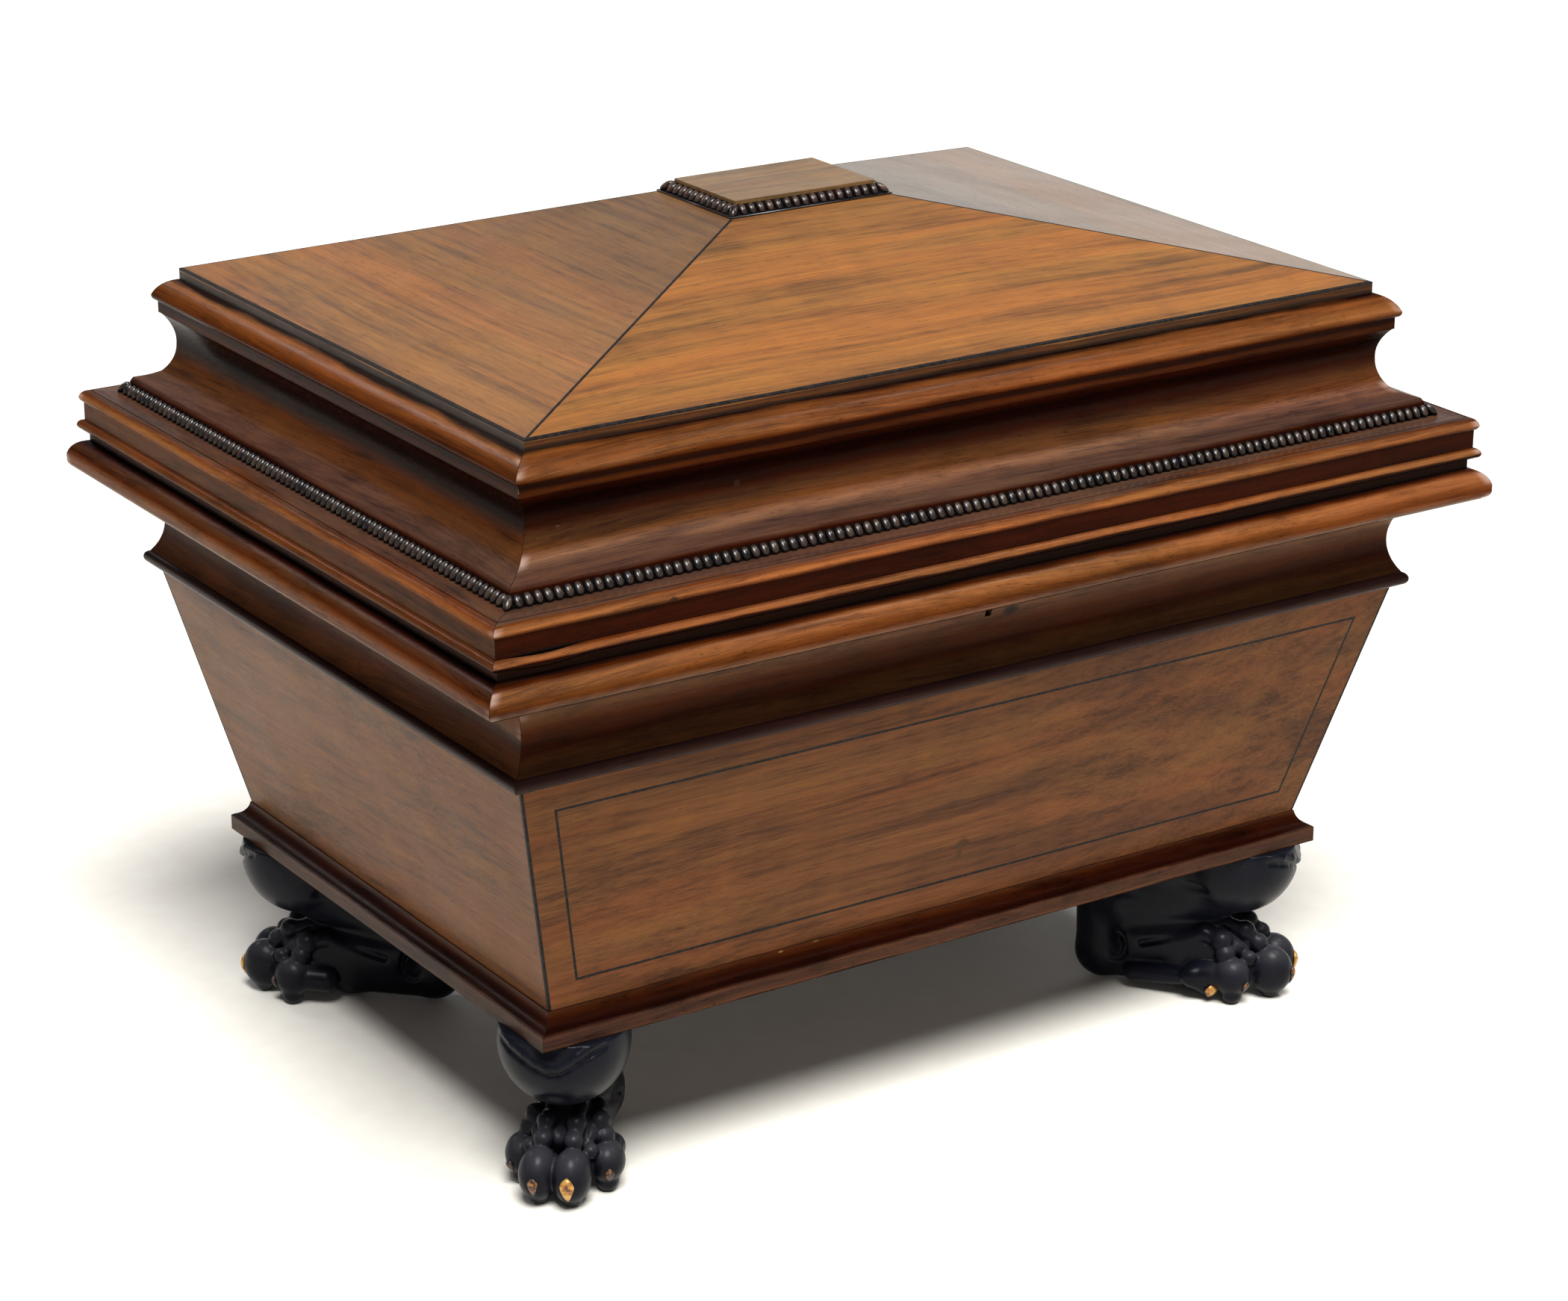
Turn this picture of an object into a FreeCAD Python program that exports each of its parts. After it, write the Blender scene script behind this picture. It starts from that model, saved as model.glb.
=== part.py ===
import FreeCAD, Part
import math
import os
from collections import namedtuple

# A sarcophagus cellarette: a battered, lead-lined chest on four lion's paw feet, with a hipped and
# hinged lid. Millimetres, +Z up, the long front faces -Y. The origin is on the floor, under the middle.
# Every moulding is set out from one rectangle, the edge of the roof. "Out" is the distance outside it.

V = FreeCAD.Vector
Rect = namedtuple("Rect", "half_length half_depth")

# ---------------------------------------------------------------- driving dimensions
roof_half_length = 380.0
roof_half_depth = 267.0

# Heights of the courses, from the floor up
foot_height = 136.4
plinth_height = 25.1
panel_height = 224.6
frieze_height = 77.0
rim_height = 24.0
lid_seat_gap = 0.2
lid_base_height = 41.5
lid_cavetto_height = 67.8
cornice_height = 27.8
slab_edge = 8.7
roof_rise = 65.6
tablet_thickness = 2.9

# Carcass
panel_top_out = 19.5
panel_batter = 0.2427          # how far a panel leans out for each unit that it rises
panel_thickness = 18.0
bottom_thickness = 18.0
plinth_out = -16.0
plinth_lip = 1.0
plinth_fascia_height = 12.0
plinth_hollow = 2.4
plinth_hollow_width = 10.4

# Frieze, waist bead and rim
frieze_lip_out = 37.2
frieze_hollow_height = 64.8
frieze_hollow = 14.9
frieze_foot_out = 24.8
bead_seat_out = 20.0
bead_height = 11.2
bead_shoulder_out = 25.3
bead_swell = 4.1
bead_fillet = 0.5
rim_shoulder_out = 57.6
rim_nose_out = 72.0
rim_nose_drop = 12.5
rim_nose_flat = 4.5
rim_swell = 3.2
rim_return = 5.5
rim_return_swell = 1.6
rim_soffit_drop = 0.6

# Lid base: flat top, nose, fascia, planted bead and recessed band
lid_flat_out = 56.5
lid_nose_out = 63.0
lid_nose_drop = 6.5
lid_nose_swell = 1.6
lid_nose_return = 3.7
lid_nose_return_swell = 0.6
lid_fascia_out = 60.0
lid_bead_drop = 24.6
lid_bead_out = 65.0
lid_bead_nose_drop = 4.6
lid_bead_swell = 1.3
lid_bead_return = 3.5
lid_bead_return_out = 62.0
lid_bead_return_swell = 0.8
lid_bead_foot = 1.5
lid_band_out = 57.5
incised_line_out = 54.6
incised_line_width = 1.2
incised_line_depth = 0.8

# Lid cavetto, its gadroon strip and the cornice
lid_frame_inset = 14.0
cavetto_lip_out = 12.5
cavetto_throat_out = 3.6
cavetto_throat_drop = 24.5
cavetto_upper_hollow = 2.8
cavetto_heel_out = 13.0
cavetto_heel_rise = 20.1
cavetto_lower_hollow = 2.4
cavetto_toe_out = 30.0
cavetto_toe_rise = 13.3
cavetto_toe_hollow = 0.7
cavetto_foot_out = 32.0
cavetto_foot_rise = 9.8
gadroon_height = 8.3
gadroon_width = 7.6
gadroon_swell = 2.3
cornice_nose_out = 17.0
cornice_nose_drop = 13.8
cornice_swell = 2.8
cornice_return = 4.6
cornice_return_out = 14.0
cornice_return_swell = 1.1
cornice_fillet_out = 13.3

# Roof, crown and tablet
roof_thickness = 14.0
crown_half_length = 74.0
crown_half_depth = 53.0
crown_gadroon_height = 7.9
crown_gadroon_inset = 2.0
crown_gadroon_width = 7.6
crown_gadroon_swell = 1.6
crown_fillet_height = 1.4
crown_ring_width = 18.0
tablet_inset = 10.0            # from the crown's edge to the tablet's
roof_block_length = 60.0
roof_block_depth = 22.0
roof_block_reach = 16.0
roof_block_spacing = 220.0
roof_block_end_spacing = 130.0

# Ebony stringing, let in flush
roof_string_width = 2.2
roof_string_depth = 1.5
arris_string_width = 2.2
panel_line_width = 2.2
panel_line_depth = 1.2
panel_line_side_margin = 25.0
panel_line_end_margin = 22.0

# Lead lining and bottle dividers
lining_thickness = 2.0
lining_drop = 10.0
divider_thickness = 8.0
divider_height = 190.0
divider_clearance = 0.2
column_pitch = 132.0
column_count = 5
row_pitch = 144.0

# Hinges
hinge_spacing = 460.0
hinge_width = 50.0
hinge_out = 66.0
hinge_leaf_out = 26.0
hinge_leaf_thickness = 2.4
knuckle_radius = 4.2
knuckle_gap = 0.3
knuckle_relief = 0.5
middle_knuckle_width = 16.4
hinge_pin_radius = 1.5
hinge_pin_clearance = 0.05
hinge_pin_overhang = 0.8
hinge_screw_spacing = 17.0

# Box lock, with its bolt drawn back
lock_x = 3.0
lock_width = 70.0
lock_depth = 11.0
lock_height = 60.0
lock_out = 4.5
lock_wall = 1.5
lock_clearance = 0.2
selvedge_ear = 7.0             # how far the plate on the lock's top edge runs past its case
selvedge_depth = 15.0
selvedge_thickness = 2.5
bolt_width = 40.0
bolt_height = 18.0
bolt_thickness = 5.0
bolt_rise = 28.5               # from the keyhole's centre to the top of the bolt plate at rest
prong_width = 10.0
prong_spacing = 24.0
prong_set_down = 0.2
bolt_talon_radius = 4.0
bolt_throw = 9.0
key_drop = 42.0
keyhole_radius = 5.0
keyhole_slot_width = 5.6
keyhole_slot_drop = 8.5
drill_pin_radius = 2.0
strike_thickness = 2.0
strike_pocket_margin = 1.0

# Wood screws and foot dowels
screw_head_radius = 3.4
screw_head_height = 2.0
screw_shank_radius = 1.6
screw_length = 15.0
screw_slot_width = 0.8
screw_slot_depth = 0.7
dowel_radius = 8.0
dowel_set_back = 88.0
dowel_up = 14.0
dowel_down = 25.0

# Paw feet, measured along the diagonal from the plinth's corner
toe_set_back = 9.0
heel_set_back = 194.0
thigh_radius = 50.0
thigh_set_back = 62.0
thigh_drop = 24.0
hock_radius = 26.0
hock_drop = 20.0
heel_radius = 22.0
heel_round = 2.0                # how much larger the heel is than the leg that runs down into it
sole_flat = 3.0
shin_radius = 30.0
shin_set_back = 78.0
fold_radius = 30.0
fold_height = 70.0
palm_radius = 31.0
palm_set_back = 60.0
toe_radius = 16.5
toe_length = 30.0
toe_taper = 1.0
toe_height = 25.0
toe_spread = 12.5
outer_toe_radius = 14.0
outer_toe_spread = 31.0
outer_toe_back = 27.0
claw_root_radius = 4.6
claw_tip_radius = 1.6
claw_drop = 15.0
knuckle_ball_radius = 7.4
knuckle_row_rise = 9.0
knuckle_row_back = 14.0
outer_knuckle_spread = 26.0
dewclaw_radius = 8.0
dewclaw_set_back = 90.0
dewclaw_height = 22.0

overrun = 1.0                  # how far a cutting tool runs past what it cuts

# ---------------------------------------------------------------- rectangles and levels that follow
roof = Rect(roof_half_length, roof_half_depth)
crown = Rect(crown_half_length, crown_half_depth)
tablet = Rect(crown_half_length - tablet_inset, crown_half_depth - tablet_inset)
selvedge_width = lock_width + 2 * selvedge_ear
plinth_top = foot_height + plinth_height
waist = foot_height + panel_height
rim_base = waist + frieze_height
rim_top = rim_base + rim_height
lid_bottom = rim_top + lid_seat_gap
lid_flat = lid_bottom + lid_base_height
cornice_base = lid_flat + lid_cavetto_height
eaves = cornice_base + cornice_height
roof_edge = eaves + slab_edge
crown_base = roof_edge + roof_rise
tablet_base = crown_base + crown_gadroon_height
lining_floor_top = foot_height + bottom_thickness + lining_thickness
divider_top = lining_floor_top + divider_height
batter_factor = math.hypot(1.0, panel_batter)   # a slanted board's level width for each unit of thickness
hinge_axis_height = rim_top + lid_seat_gap / 2
key_height = rim_top - key_drop
lock_centre_out = lock_out + lock_depth / 2

SIDES = {
    "front": (V(1, 0, 0), V(0, -1, 0)),
    "back": (V(1, 0, 0), V(0, 1, 0)),
    "left": (V(0, 1, 0), V(-1, 0, 0)),
    "right": (V(0, 1, 0), V(1, 0, 0)),
}


def panel_face(height):
    """How far out the battered carcass's face stands at a height."""
    return panel_top_out - panel_batter * (waist - height)


def panel_inner(height):
    return panel_face(height) - panel_thickness * batter_factor


def lining_inner(height):
    return panel_inner(height) - lining_thickness * batter_factor


# The chest's straight upper walls, the rim and the lid base share this inner face
well_out = panel_inner(waist)


# ---------------------------------------------------------------- shapes
def block(x_range, y_range, z_range):
    size = [high - low for low, high in (x_range, y_range, z_range)]
    return Part.makeBox(*size, V(x_range[0], y_range[0], z_range[0]))


def about(centre, width):
    return centre - width / 2, centre + width / 2


def prism(points, run):
    """A polygon carried along a vector."""
    return Part.Face(Part.makePolygon(points + points[:1])).extrude(run)


def plan_prism(plan, low, high):
    return prism([V(x, y, low) for x, y in plan], V(0, 0, high - low))


def frustum(rect, low, low_out, high, high_out):
    """A block with four sloping sides, set out from a rectangle."""
    def ring(level, out):
        x, y = rect.half_length + out, rect.half_depth + out
        corners = [V(-x, -y, level), V(x, -y, level), V(x, y, level), V(-x, y, level)]
        return Part.makePolygon(corners + corners[:1])
    return Part.makeLoft([ring(low, low_out), ring(high, high_out)], True, True)


def across_and_along(side, rect):
    if side in ("front", "back"):
        return rect.half_depth, rect.half_length
    return rect.half_length, rect.half_depth


def outline_face(outline, side, rect):
    """A face across one side. An outline point is (out, height), or (out, height, swell) at the end of
    an arc that stands out from its chord by the swell, or is hollowed by it where it is negative."""
    outward = SIDES[side][1]
    across = across_and_along(side, rect)[0]

    def place(out, height):
        return outward * (across + out) + V(0, 0, height)

    edges = []
    for start, end in zip(outline, outline[1:] + outline[:1]):
        a, b = place(*start[:2]), place(*end[:2])
        swell = end[2] if len(end) > 2 else 0
        if swell:
            run, fall = end[0] - start[0], end[1] - start[1]
            chord = math.hypot(run, fall)
            middle = place(
                (start[0] + end[0]) / 2 - fall / chord * swell,
                (start[1] + end[1]) / 2 + run / chord * swell,
            )
            edges.append(Part.Arc(a, middle, b).toShape())
        else:
            edges.append(Part.makeLine(a, b))
    return Part.Face(Part.Wire(edges))


def out_range(outline):
    """How far in and out an outline reaches, with room for its arcs."""
    outs = [point[0] for point in outline]
    room = overrun + max((abs(point[2]) for point in outline if len(point) > 2), default=0.0)
    return min(outs) - room, max(outs) + room


def bar(outline, side, rect, centre=0.0, length=None):
    """A straight length along one side, square-ended. It runs past both corners if no length is given."""
    along = SIDES[side][0]
    if length is None:
        length = 2 * (across_and_along(side, rect)[1] + out_range(outline)[1])
    face = outline_face(outline, side, rect)
    face.translate(along * (centre - length / 2))
    return face.extrude(along * length)


def mitred(outline, side, rect):
    """A length along one side whose ends meet its neighbours' at the corners."""
    along, outward = SIDES[side]
    across, half_along = across_and_along(side, rect)
    inner, outer = out_range(outline)
    corners = [
        outward * (across + inner) - along * (half_along + inner),
        outward * (across + outer) - along * (half_along + outer),
        outward * (across + outer) + along * (half_along + outer),
        outward * (across + inner) + along * (half_along + inner),
    ]
    heights = [point[1] for point in outline]
    wedge = plan_prism([(c.x, c.y) for c in corners], min(heights) - overrun, max(heights) + overrun)
    return bar(outline, side, rect).common(wedge)


def mitred_set(outline, rect=roof):
    return [mitred(outline, side, rect) for side in SIDES]


def only_solid(shape):
    """The one solid of a boolean's result. It is an error if a piece has come loose."""
    solid, = shape.Solids
    return solid


def cut_all(shape, tools):
    for tool in tools:
        shape = shape.cut(tool)
    return only_solid(shape)


def group(solids):
    return Part.makeCompound([only_solid(s) for s in solids])


def screw(head, direction):
    """A countersunk wood screw, its slotted head flush at a point."""
    head_cone = Part.makeCone(screw_head_radius, screw_shank_radius, screw_head_height, head, direction)
    shank = Part.makeCylinder(screw_shank_radius, screw_length, head, direction)
    slot = block(
        about(head.x, 2 * screw_head_radius),
        about(head.y, screw_slot_width),
        about(head.z, 2 * screw_slot_depth),
    )
    return head_cone.fuse(shank), slot


# ---------------------------------------------------------------- carcass
def panel(side):
    outline = [
        (panel_top_out, waist),
        (panel_face(foot_height), foot_height),
        (panel_inner(foot_height), foot_height),
        (well_out, waist),
    ]
    return mitred(outline, side, roof)


def plinth_moulding():
    hollow_end = panel_face(plinth_top) + plinth_lip + plinth_hollow_width
    outline = [
        (panel_face(plinth_top), plinth_top),
        (panel_face(plinth_top) + plinth_lip, plinth_top),
        (hollow_end, foot_height + plinth_fascia_height + plinth_lip, -plinth_hollow),
        (plinth_out, foot_height + plinth_fascia_height),
        (plinth_out, foot_height),
        (panel_face(foot_height), foot_height),
    ]
    return mitred_set(outline)


def frieze(side):
    hollow_foot = rim_base - frieze_hollow_height
    outline = [
        (well_out, rim_base),
        (frieze_lip_out, rim_base),
        (frieze_foot_out, hollow_foot, -frieze_hollow),
        (frieze_foot_out, hollow_foot - bead_fillet),
        (bead_seat_out, hollow_foot - bead_fillet),
        (bead_seat_out, waist),
        (well_out, waist),
    ]
    return mitred(outline, side, roof)


def waist_bead():
    top = rim_base - frieze_hollow_height - bead_fillet
    outline = [
        (bead_seat_out, top),
        (bead_shoulder_out, top),
        (bead_shoulder_out, top - bead_height + bead_fillet, bead_swell),
        (bead_seat_out, top - bead_height),
    ]
    return mitred_set(outline)


def rim(side):
    nose_top = rim_top - rim_nose_drop
    nose_foot = nose_top - rim_nose_flat
    outline = [
        (well_out, rim_top),
        (rim_shoulder_out, rim_top),
        (rim_nose_out, nose_top, rim_swell),
        (rim_nose_out, nose_foot),
        (rim_nose_out - rim_return, rim_base + rim_soffit_drop, rim_return_swell),
        (rim_nose_out - rim_return, rim_base),
        (well_out, rim_base),
    ]
    return mitred(outline, side, roof)


def carcass_bottom():
    top = foot_height + bottom_thickness
    return frustum(roof, foot_height, panel_inner(foot_height), top, panel_inner(top))


# ---------------------------------------------------------------- stringing on the carcass
def arris_strings():
    """Square ebony lines down the four corners of the battered chest."""
    def ring(height, sign_x, sign_y):
        x, y = roof.half_length + panel_face(height), roof.half_depth + panel_face(height)
        w = arris_string_width
        plan = [(x, y), (x - w, y), (x - w, y - w), (x, y - w)]
        corners = [V(sign_x * px, sign_y * py, height) for px, py in plan]
        return Part.makePolygon(corners + corners[:1])
    return [
        Part.makeLoft([ring(foot_height, sx, sy), ring(waist, sx, sy)], True, True)
        for sx in (-1, 1)
        for sy in (-1, 1)
    ]


def front_panel_line():
    """The ebony line that frames the front panel, four mitred lengths."""
    skin_outline = [
        (panel_top_out, waist),
        (panel_face(foot_height), foot_height),
        (panel_face(foot_height) - panel_line_depth * batter_factor, foot_height),
        (panel_top_out - panel_line_depth * batter_factor, waist),
    ]
    skin = bar(skin_outline, "front", roof)
    start_y = -(roof.half_depth + panel_top_out + overrun)

    def frame(inset):
        top = waist - panel_line_end_margin - inset
        foot = plinth_top + panel_line_end_margin + inset
        half = [
            roof.half_length + panel_face(level) - panel_line_side_margin - inset for level in (foot, top)
        ]
        return [(-half[0], foot), (half[0], foot), (half[1], top), (-half[1], top)]

    outer, inner = frame(0), frame(panel_line_width)
    lengths = []
    for i in range(4):
        j = (i + 1) % 4
        corners = [V(x, start_y, z) for x, z in (outer[i], outer[j], inner[j], inner[i])]
        lengths.append(prism(corners, V(0, roof.half_depth, 0)).common(skin))
    return lengths


# ---------------------------------------------------------------- lining and dividers
def lining_floor():
    base = lining_floor_top - lining_thickness
    return frustum(roof, base, panel_inner(base), lining_floor_top, panel_inner(lining_floor_top))


def lining_walls():
    slanted = [
        (well_out, waist),
        (panel_inner(lining_floor_top), lining_floor_top),
        (lining_inner(lining_floor_top), lining_floor_top),
        (lining_inner(waist), waist),
    ]
    upright = [
        (well_out, rim_top - lining_drop),
        (well_out, waist),
        (lining_inner(waist), waist),
        (lining_inner(waist), rim_top - lining_drop),
    ]
    return mitred_set(slanted) + mitred_set(upright)


def column_places():
    first = -(column_count - 2) / 2 * column_pitch
    return [first + i * column_pitch for i in range(column_count - 1)]


def row_places():
    return [-row_pitch / 2, row_pitch / 2]


def halving(x_place, y_place, z_range):
    """The slot, cut half through, where two dividers cross."""
    width = divider_thickness + 2 * divider_clearance
    return block(about(x_place, width), about(y_place, width), z_range)


def divider(half_size, along, across, place):
    """An upright board that fits between the sloping lead walls."""
    ends = []
    for level in (lining_floor_top, divider_top):
        reach = half_size + lining_inner(level) - divider_clearance
        ends.append((reach, level))
    (low, base), (high, top) = ends
    start = across * (place - divider_thickness / 2)
    corners = [
        start + along * reach + V(0, 0, level)
        for reach, level in ((-low, base), (low, base), (high, top), (-high, top))
    ]
    return prism(corners, across * divider_thickness)


def long_dividers():
    middle = (lining_floor_top + divider_top) / 2
    boards = []
    for y in row_places():
        board = divider(roof.half_length, V(1, 0, 0), V(0, 1, 0), y)
        slots = [halving(x, y, (middle - divider_clearance, divider_top + overrun)) for x in column_places()]
        boards.append(cut_all(board, slots))
    return boards


def cross_dividers():
    middle = (lining_floor_top + divider_top) / 2
    boards = []
    for x in column_places():
        board = divider(roof.half_depth, V(0, 1, 0), V(1, 0, 0), x)
        slots = [halving(x, y, (lining_floor_top - overrun, middle)) for y in row_places()]
        boards.append(cut_all(board, slots))
    return boards


# ---------------------------------------------------------------- lid
def lid_base(side):
    nose = lid_flat - lid_nose_drop
    line = [incised_line_out + share * incised_line_width for share in (0, 0.5, 1)]
    outline = [
        (well_out, lid_flat),
        (line[0], lid_flat),
        (line[1], lid_flat - incised_line_depth),
        (line[2], lid_flat),
        (lid_flat_out, lid_flat),
        (lid_nose_out, nose, lid_nose_swell),
        (lid_fascia_out, nose - lid_nose_return, lid_nose_return_swell),
        (lid_fascia_out, lid_flat - lid_bead_drop),
        (lid_band_out, lid_flat - lid_bead_drop),
        (lid_band_out, lid_bottom),
        (well_out, lid_bottom),
    ]
    return mitred(outline, side, roof)


def lid_bead():
    top = lid_flat - lid_bead_drop
    nose = top - lid_bead_nose_drop
    outline = [
        (lid_band_out, top),
        (lid_fascia_out, top),
        (lid_bead_out, nose, lid_bead_swell),
        (lid_bead_return_out, nose - lid_bead_return, lid_bead_return_swell),
        (lid_band_out, nose - lid_bead_return - lid_bead_foot),
    ]
    return mitred_set(outline)


def lid_cavetto(side):
    outline = [
        (-lid_frame_inset, cornice_base),
        (cavetto_lip_out, cornice_base),
        (cavetto_throat_out, cornice_base - cavetto_throat_drop, -cavetto_upper_hollow),
        (cavetto_heel_out, lid_flat + cavetto_heel_rise, -cavetto_lower_hollow),
        (cavetto_toe_out, lid_flat + cavetto_toe_rise, -cavetto_toe_hollow),
        (cavetto_foot_out, lid_flat + cavetto_foot_rise),
        (cavetto_foot_out, lid_flat),
        (-lid_frame_inset, lid_flat),
    ]
    return mitred(outline, side, roof)


def lid_gadroon():
    outline = [
        (cavetto_foot_out, lid_flat + gadroon_height),
        (cavetto_foot_out + gadroon_width, lid_flat, gadroon_swell),
        (cavetto_foot_out, lid_flat),
    ]
    return mitred_set(outline)


def cornice():
    nose = eaves - cornice_nose_drop
    outline = [
        (-lid_frame_inset, eaves),
        (0, eaves),
        (cornice_nose_out, nose, cornice_swell),
        (cornice_return_out, nose - cornice_return, cornice_return_swell),
        (cornice_fillet_out, nose - cornice_return),
        (cornice_fillet_out, cornice_base),
        (-lid_frame_inset, cornice_base),
    ]
    return mitred_set(outline)


def roof_run(side):
    return across_and_along(side, roof)[0] - across_and_along(side, crown)[0]


def roof_seat(side):
    """Width of the flat at the eaves, where a roof board's underside leaves the cornice."""
    return (roof_thickness - slab_edge) * roof_run(side) / roof_rise


def roof_plan(side):
    """The ground that one roof board covers, from hip to hip."""
    length, depth = roof.half_length, roof.half_depth
    crown_length, crown_depth = crown.half_length, crown.half_depth
    if side in ("front", "back"):
        sign = -1 if side == "front" else 1
        return [
            (-length, sign * depth),
            (length, sign * depth),
            (crown_length, sign * crown_depth),
            (-crown_length, sign * crown_depth),
        ]
    sign = -1 if side == "left" else 1
    return [
        (sign * length, -depth),
        (sign * length, depth),
        (sign * crown_length, crown_depth),
        (sign * crown_length, -crown_depth),
    ]


def roof_board(side):
    outline = [
        (0, eaves),
        (0, roof_edge),
        (-roof_run(side), crown_base),
        (-roof_run(side), crown_base - roof_thickness),
        (-roof_seat(side), eaves),
    ]
    return bar(outline, side, roof).common(plan_prism(roof_plan(side), eaves - overrun, crown_base + overrun))


def roof_skin(side):
    """The top of one roof board, as deep as the stringing."""
    outline = [
        (0, roof_edge - roof_string_depth),
        (0, roof_edge),
        (-roof_run(side), crown_base),
        (-roof_run(side), crown_base - roof_string_depth),
    ]
    return bar(outline, side, roof).common(plan_prism(roof_plan(side), eaves - overrun, crown_base + overrun))


def hip_strings():
    """Ebony lines along the four hips, each crowned over its mitre."""
    strings = []
    for side in ("front", "back"):
        for end in ("left", "right"):
            start, finish = set(roof_plan(side)) & set(roof_plan(end))
            corner, top = sorted((V(*start, 0), V(*finish, 0)), key=lambda p: -p.Length)
            run = (top - corner).normalize()
            half = V(-run.y, run.x, 0) * (roof_string_width / 2)
            plan = [corner - half, top - half, top + half, corner + half]
            band = plan_prism([(p.x, p.y) for p in plan], eaves, crown_base + overrun)
            halves = [roof_skin(name).common(band) for name in (side, end)]
            strings.append(halves[0].fuse(halves[1]).removeSplitter())
    return strings


def eaves_strings(hips):
    """Ebony lines along the roof's lower edges, stopped at the hips."""
    x, y = roof.half_length - roof_string_width, roof.half_depth - roof_string_width
    field = plan_prism([(-x, -y), (x, -y), (x, y), (-x, y)], eaves - overrun, crown_base + overrun)
    return [cut_all(roof_skin(side).cut(field), hips) for side in SIDES]


def crown_block():
    """Fills the top of the roof and stands up inside the crown's gadroon ring."""
    lower = block(
        (-crown.half_length, crown.half_length),
        (-crown.half_depth, crown.half_depth),
        (crown_base - roof_thickness, crown_base),
    )
    x, y = crown.half_length - crown_ring_width, crown.half_depth - crown_ring_width
    return lower.fuse(block((-x, x), (-y, y), (crown_base, tablet_base))).removeSplitter()


def crown_gadroon():
    outline = [
        (-crown_ring_width, tablet_base),
        (-crown_gadroon_inset - crown_gadroon_width, tablet_base),
        (-crown_gadroon_inset, crown_base + crown_fillet_height, crown_gadroon_swell),
        (0, crown_base + crown_fillet_height),
        (0, crown_base),
        (-crown_ring_width, crown_base),
    ]
    return mitred_set(outline, crown)


def tablet_slab():
    return block(
        (-tablet.half_length, tablet.half_length),
        (-tablet.half_depth, tablet.half_depth),
        (tablet_base, tablet_base + tablet_thickness),
    )


def roof_blocks():
    """Glue blocks in the angle between the cornice and the roof boards."""
    blocks = []
    for side in SIDES:
        seat, slope = roof_seat(side), roof_rise / roof_run(side)
        tip = eaves + roof_block_reach * slope
        outline = [
            (-lid_frame_inset, eaves),
            (-lid_frame_inset, eaves - roof_block_depth),
            (-seat - roof_block_reach, tip - roof_block_depth / 2),
            (-seat - roof_block_reach, tip),
            (-seat, eaves),
        ]
        if side in ("front", "back"):
            centres = (-roof_block_spacing, 0, roof_block_spacing)
        else:
            centres = (-roof_block_end_spacing, roof_block_end_spacing)
        blocks += [bar(outline, side, roof, centre, roof_block_length) for centre in centres]
    return blocks


# ---------------------------------------------------------------- hinges
def hinge_places():
    return [-hinge_spacing / 2, hinge_spacing / 2]


def knuckle(low, high, radius):
    axis_start = V(low, roof.half_depth + hinge_out, hinge_axis_height)
    return Part.makeCylinder(radius, high - low, axis_start, V(1, 0, 0))


def knuckle_ranges(centre):
    """Spans of the three knuckles along the pin: outer, middle, outer."""
    half, middle = hinge_width / 2, middle_knuckle_width / 2
    return [
        (centre - half, centre - middle - knuckle_gap),
        (centre - middle, centre + middle),
        (centre + middle + knuckle_gap, centre + half),
    ]


def hinge_leaf(centre, z_range, spans):
    """A leaf let in flush, with a tongue and a bored knuckle over each span."""
    axis_y = roof.half_depth + hinge_out
    plate_end = axis_y - knuckle_radius - knuckle_relief
    leaf = block(about(centre, hinge_width), (roof.half_depth + hinge_leaf_out, plate_end), z_range)
    for low, high in spans:
        leaf = leaf.fuse(block((low, high), (plate_end, axis_y), z_range))
        leaf = leaf.fuse(knuckle(low, high, knuckle_radius))
    bore = knuckle(centre - hinge_width, centre + hinge_width, hinge_pin_radius + hinge_pin_clearance)
    return leaf.cut(bore)


def lower_leaf(centre):
    first, _, last = knuckle_ranges(centre)
    return hinge_leaf(centre, (rim_top - hinge_leaf_thickness, rim_top), (first, last))


def upper_leaf(centre):
    middle = knuckle_ranges(centre)[1]
    return hinge_leaf(centre, (lid_bottom, lid_bottom + hinge_leaf_thickness), (middle,))


def leaf_recess(centre, z_range):
    return block(
        about(centre, hinge_width),
        (roof.half_depth + hinge_leaf_out, roof.half_depth + hinge_out),
        z_range,
    )


def knuckle_recess(centre):
    half = hinge_width / 2 + knuckle_relief
    return knuckle(centre - half, centre + half, knuckle_radius + knuckle_relief)


def hinge_pin(centre):
    half = hinge_width / 2 + hinge_pin_overhang
    return knuckle(centre - half, centre + half, hinge_pin_radius)


def leaf_screws(level, direction):
    middle_y = roof.half_depth + (hinge_leaf_out + hinge_out - knuckle_radius) / 2
    return [
        screw(V(centre + offset, middle_y, level), direction)
        for centre in hinge_places()
        for offset in (-hinge_screw_spacing, 0, hinge_screw_spacing)
    ]


# ---------------------------------------------------------------- lock
def front_block(x_range, depths, z_range):
    """A block in the front, between two distances outside the roof's edge."""
    low, high = depths
    return block(x_range, (-roof.half_depth - high, -roof.half_depth - low), z_range)


def selvedge_block(z_range):
    """The room of the plate on the lock's top edge, and of the strike plate above it."""
    return front_block(about(lock_x, selvedge_width), about(lock_centre_out, selvedge_depth), z_range)


def prong_places():
    return [lock_x - prong_spacing / 2, lock_x + prong_spacing / 2]


def prong_openings(clearance, z_range):
    return [
        front_block(
            about(x, prong_width + 2 * clearance),
            about(lock_centre_out, bolt_thickness + 2 * clearance),
            z_range,
        )
        for x in prong_places()
    ]


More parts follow.
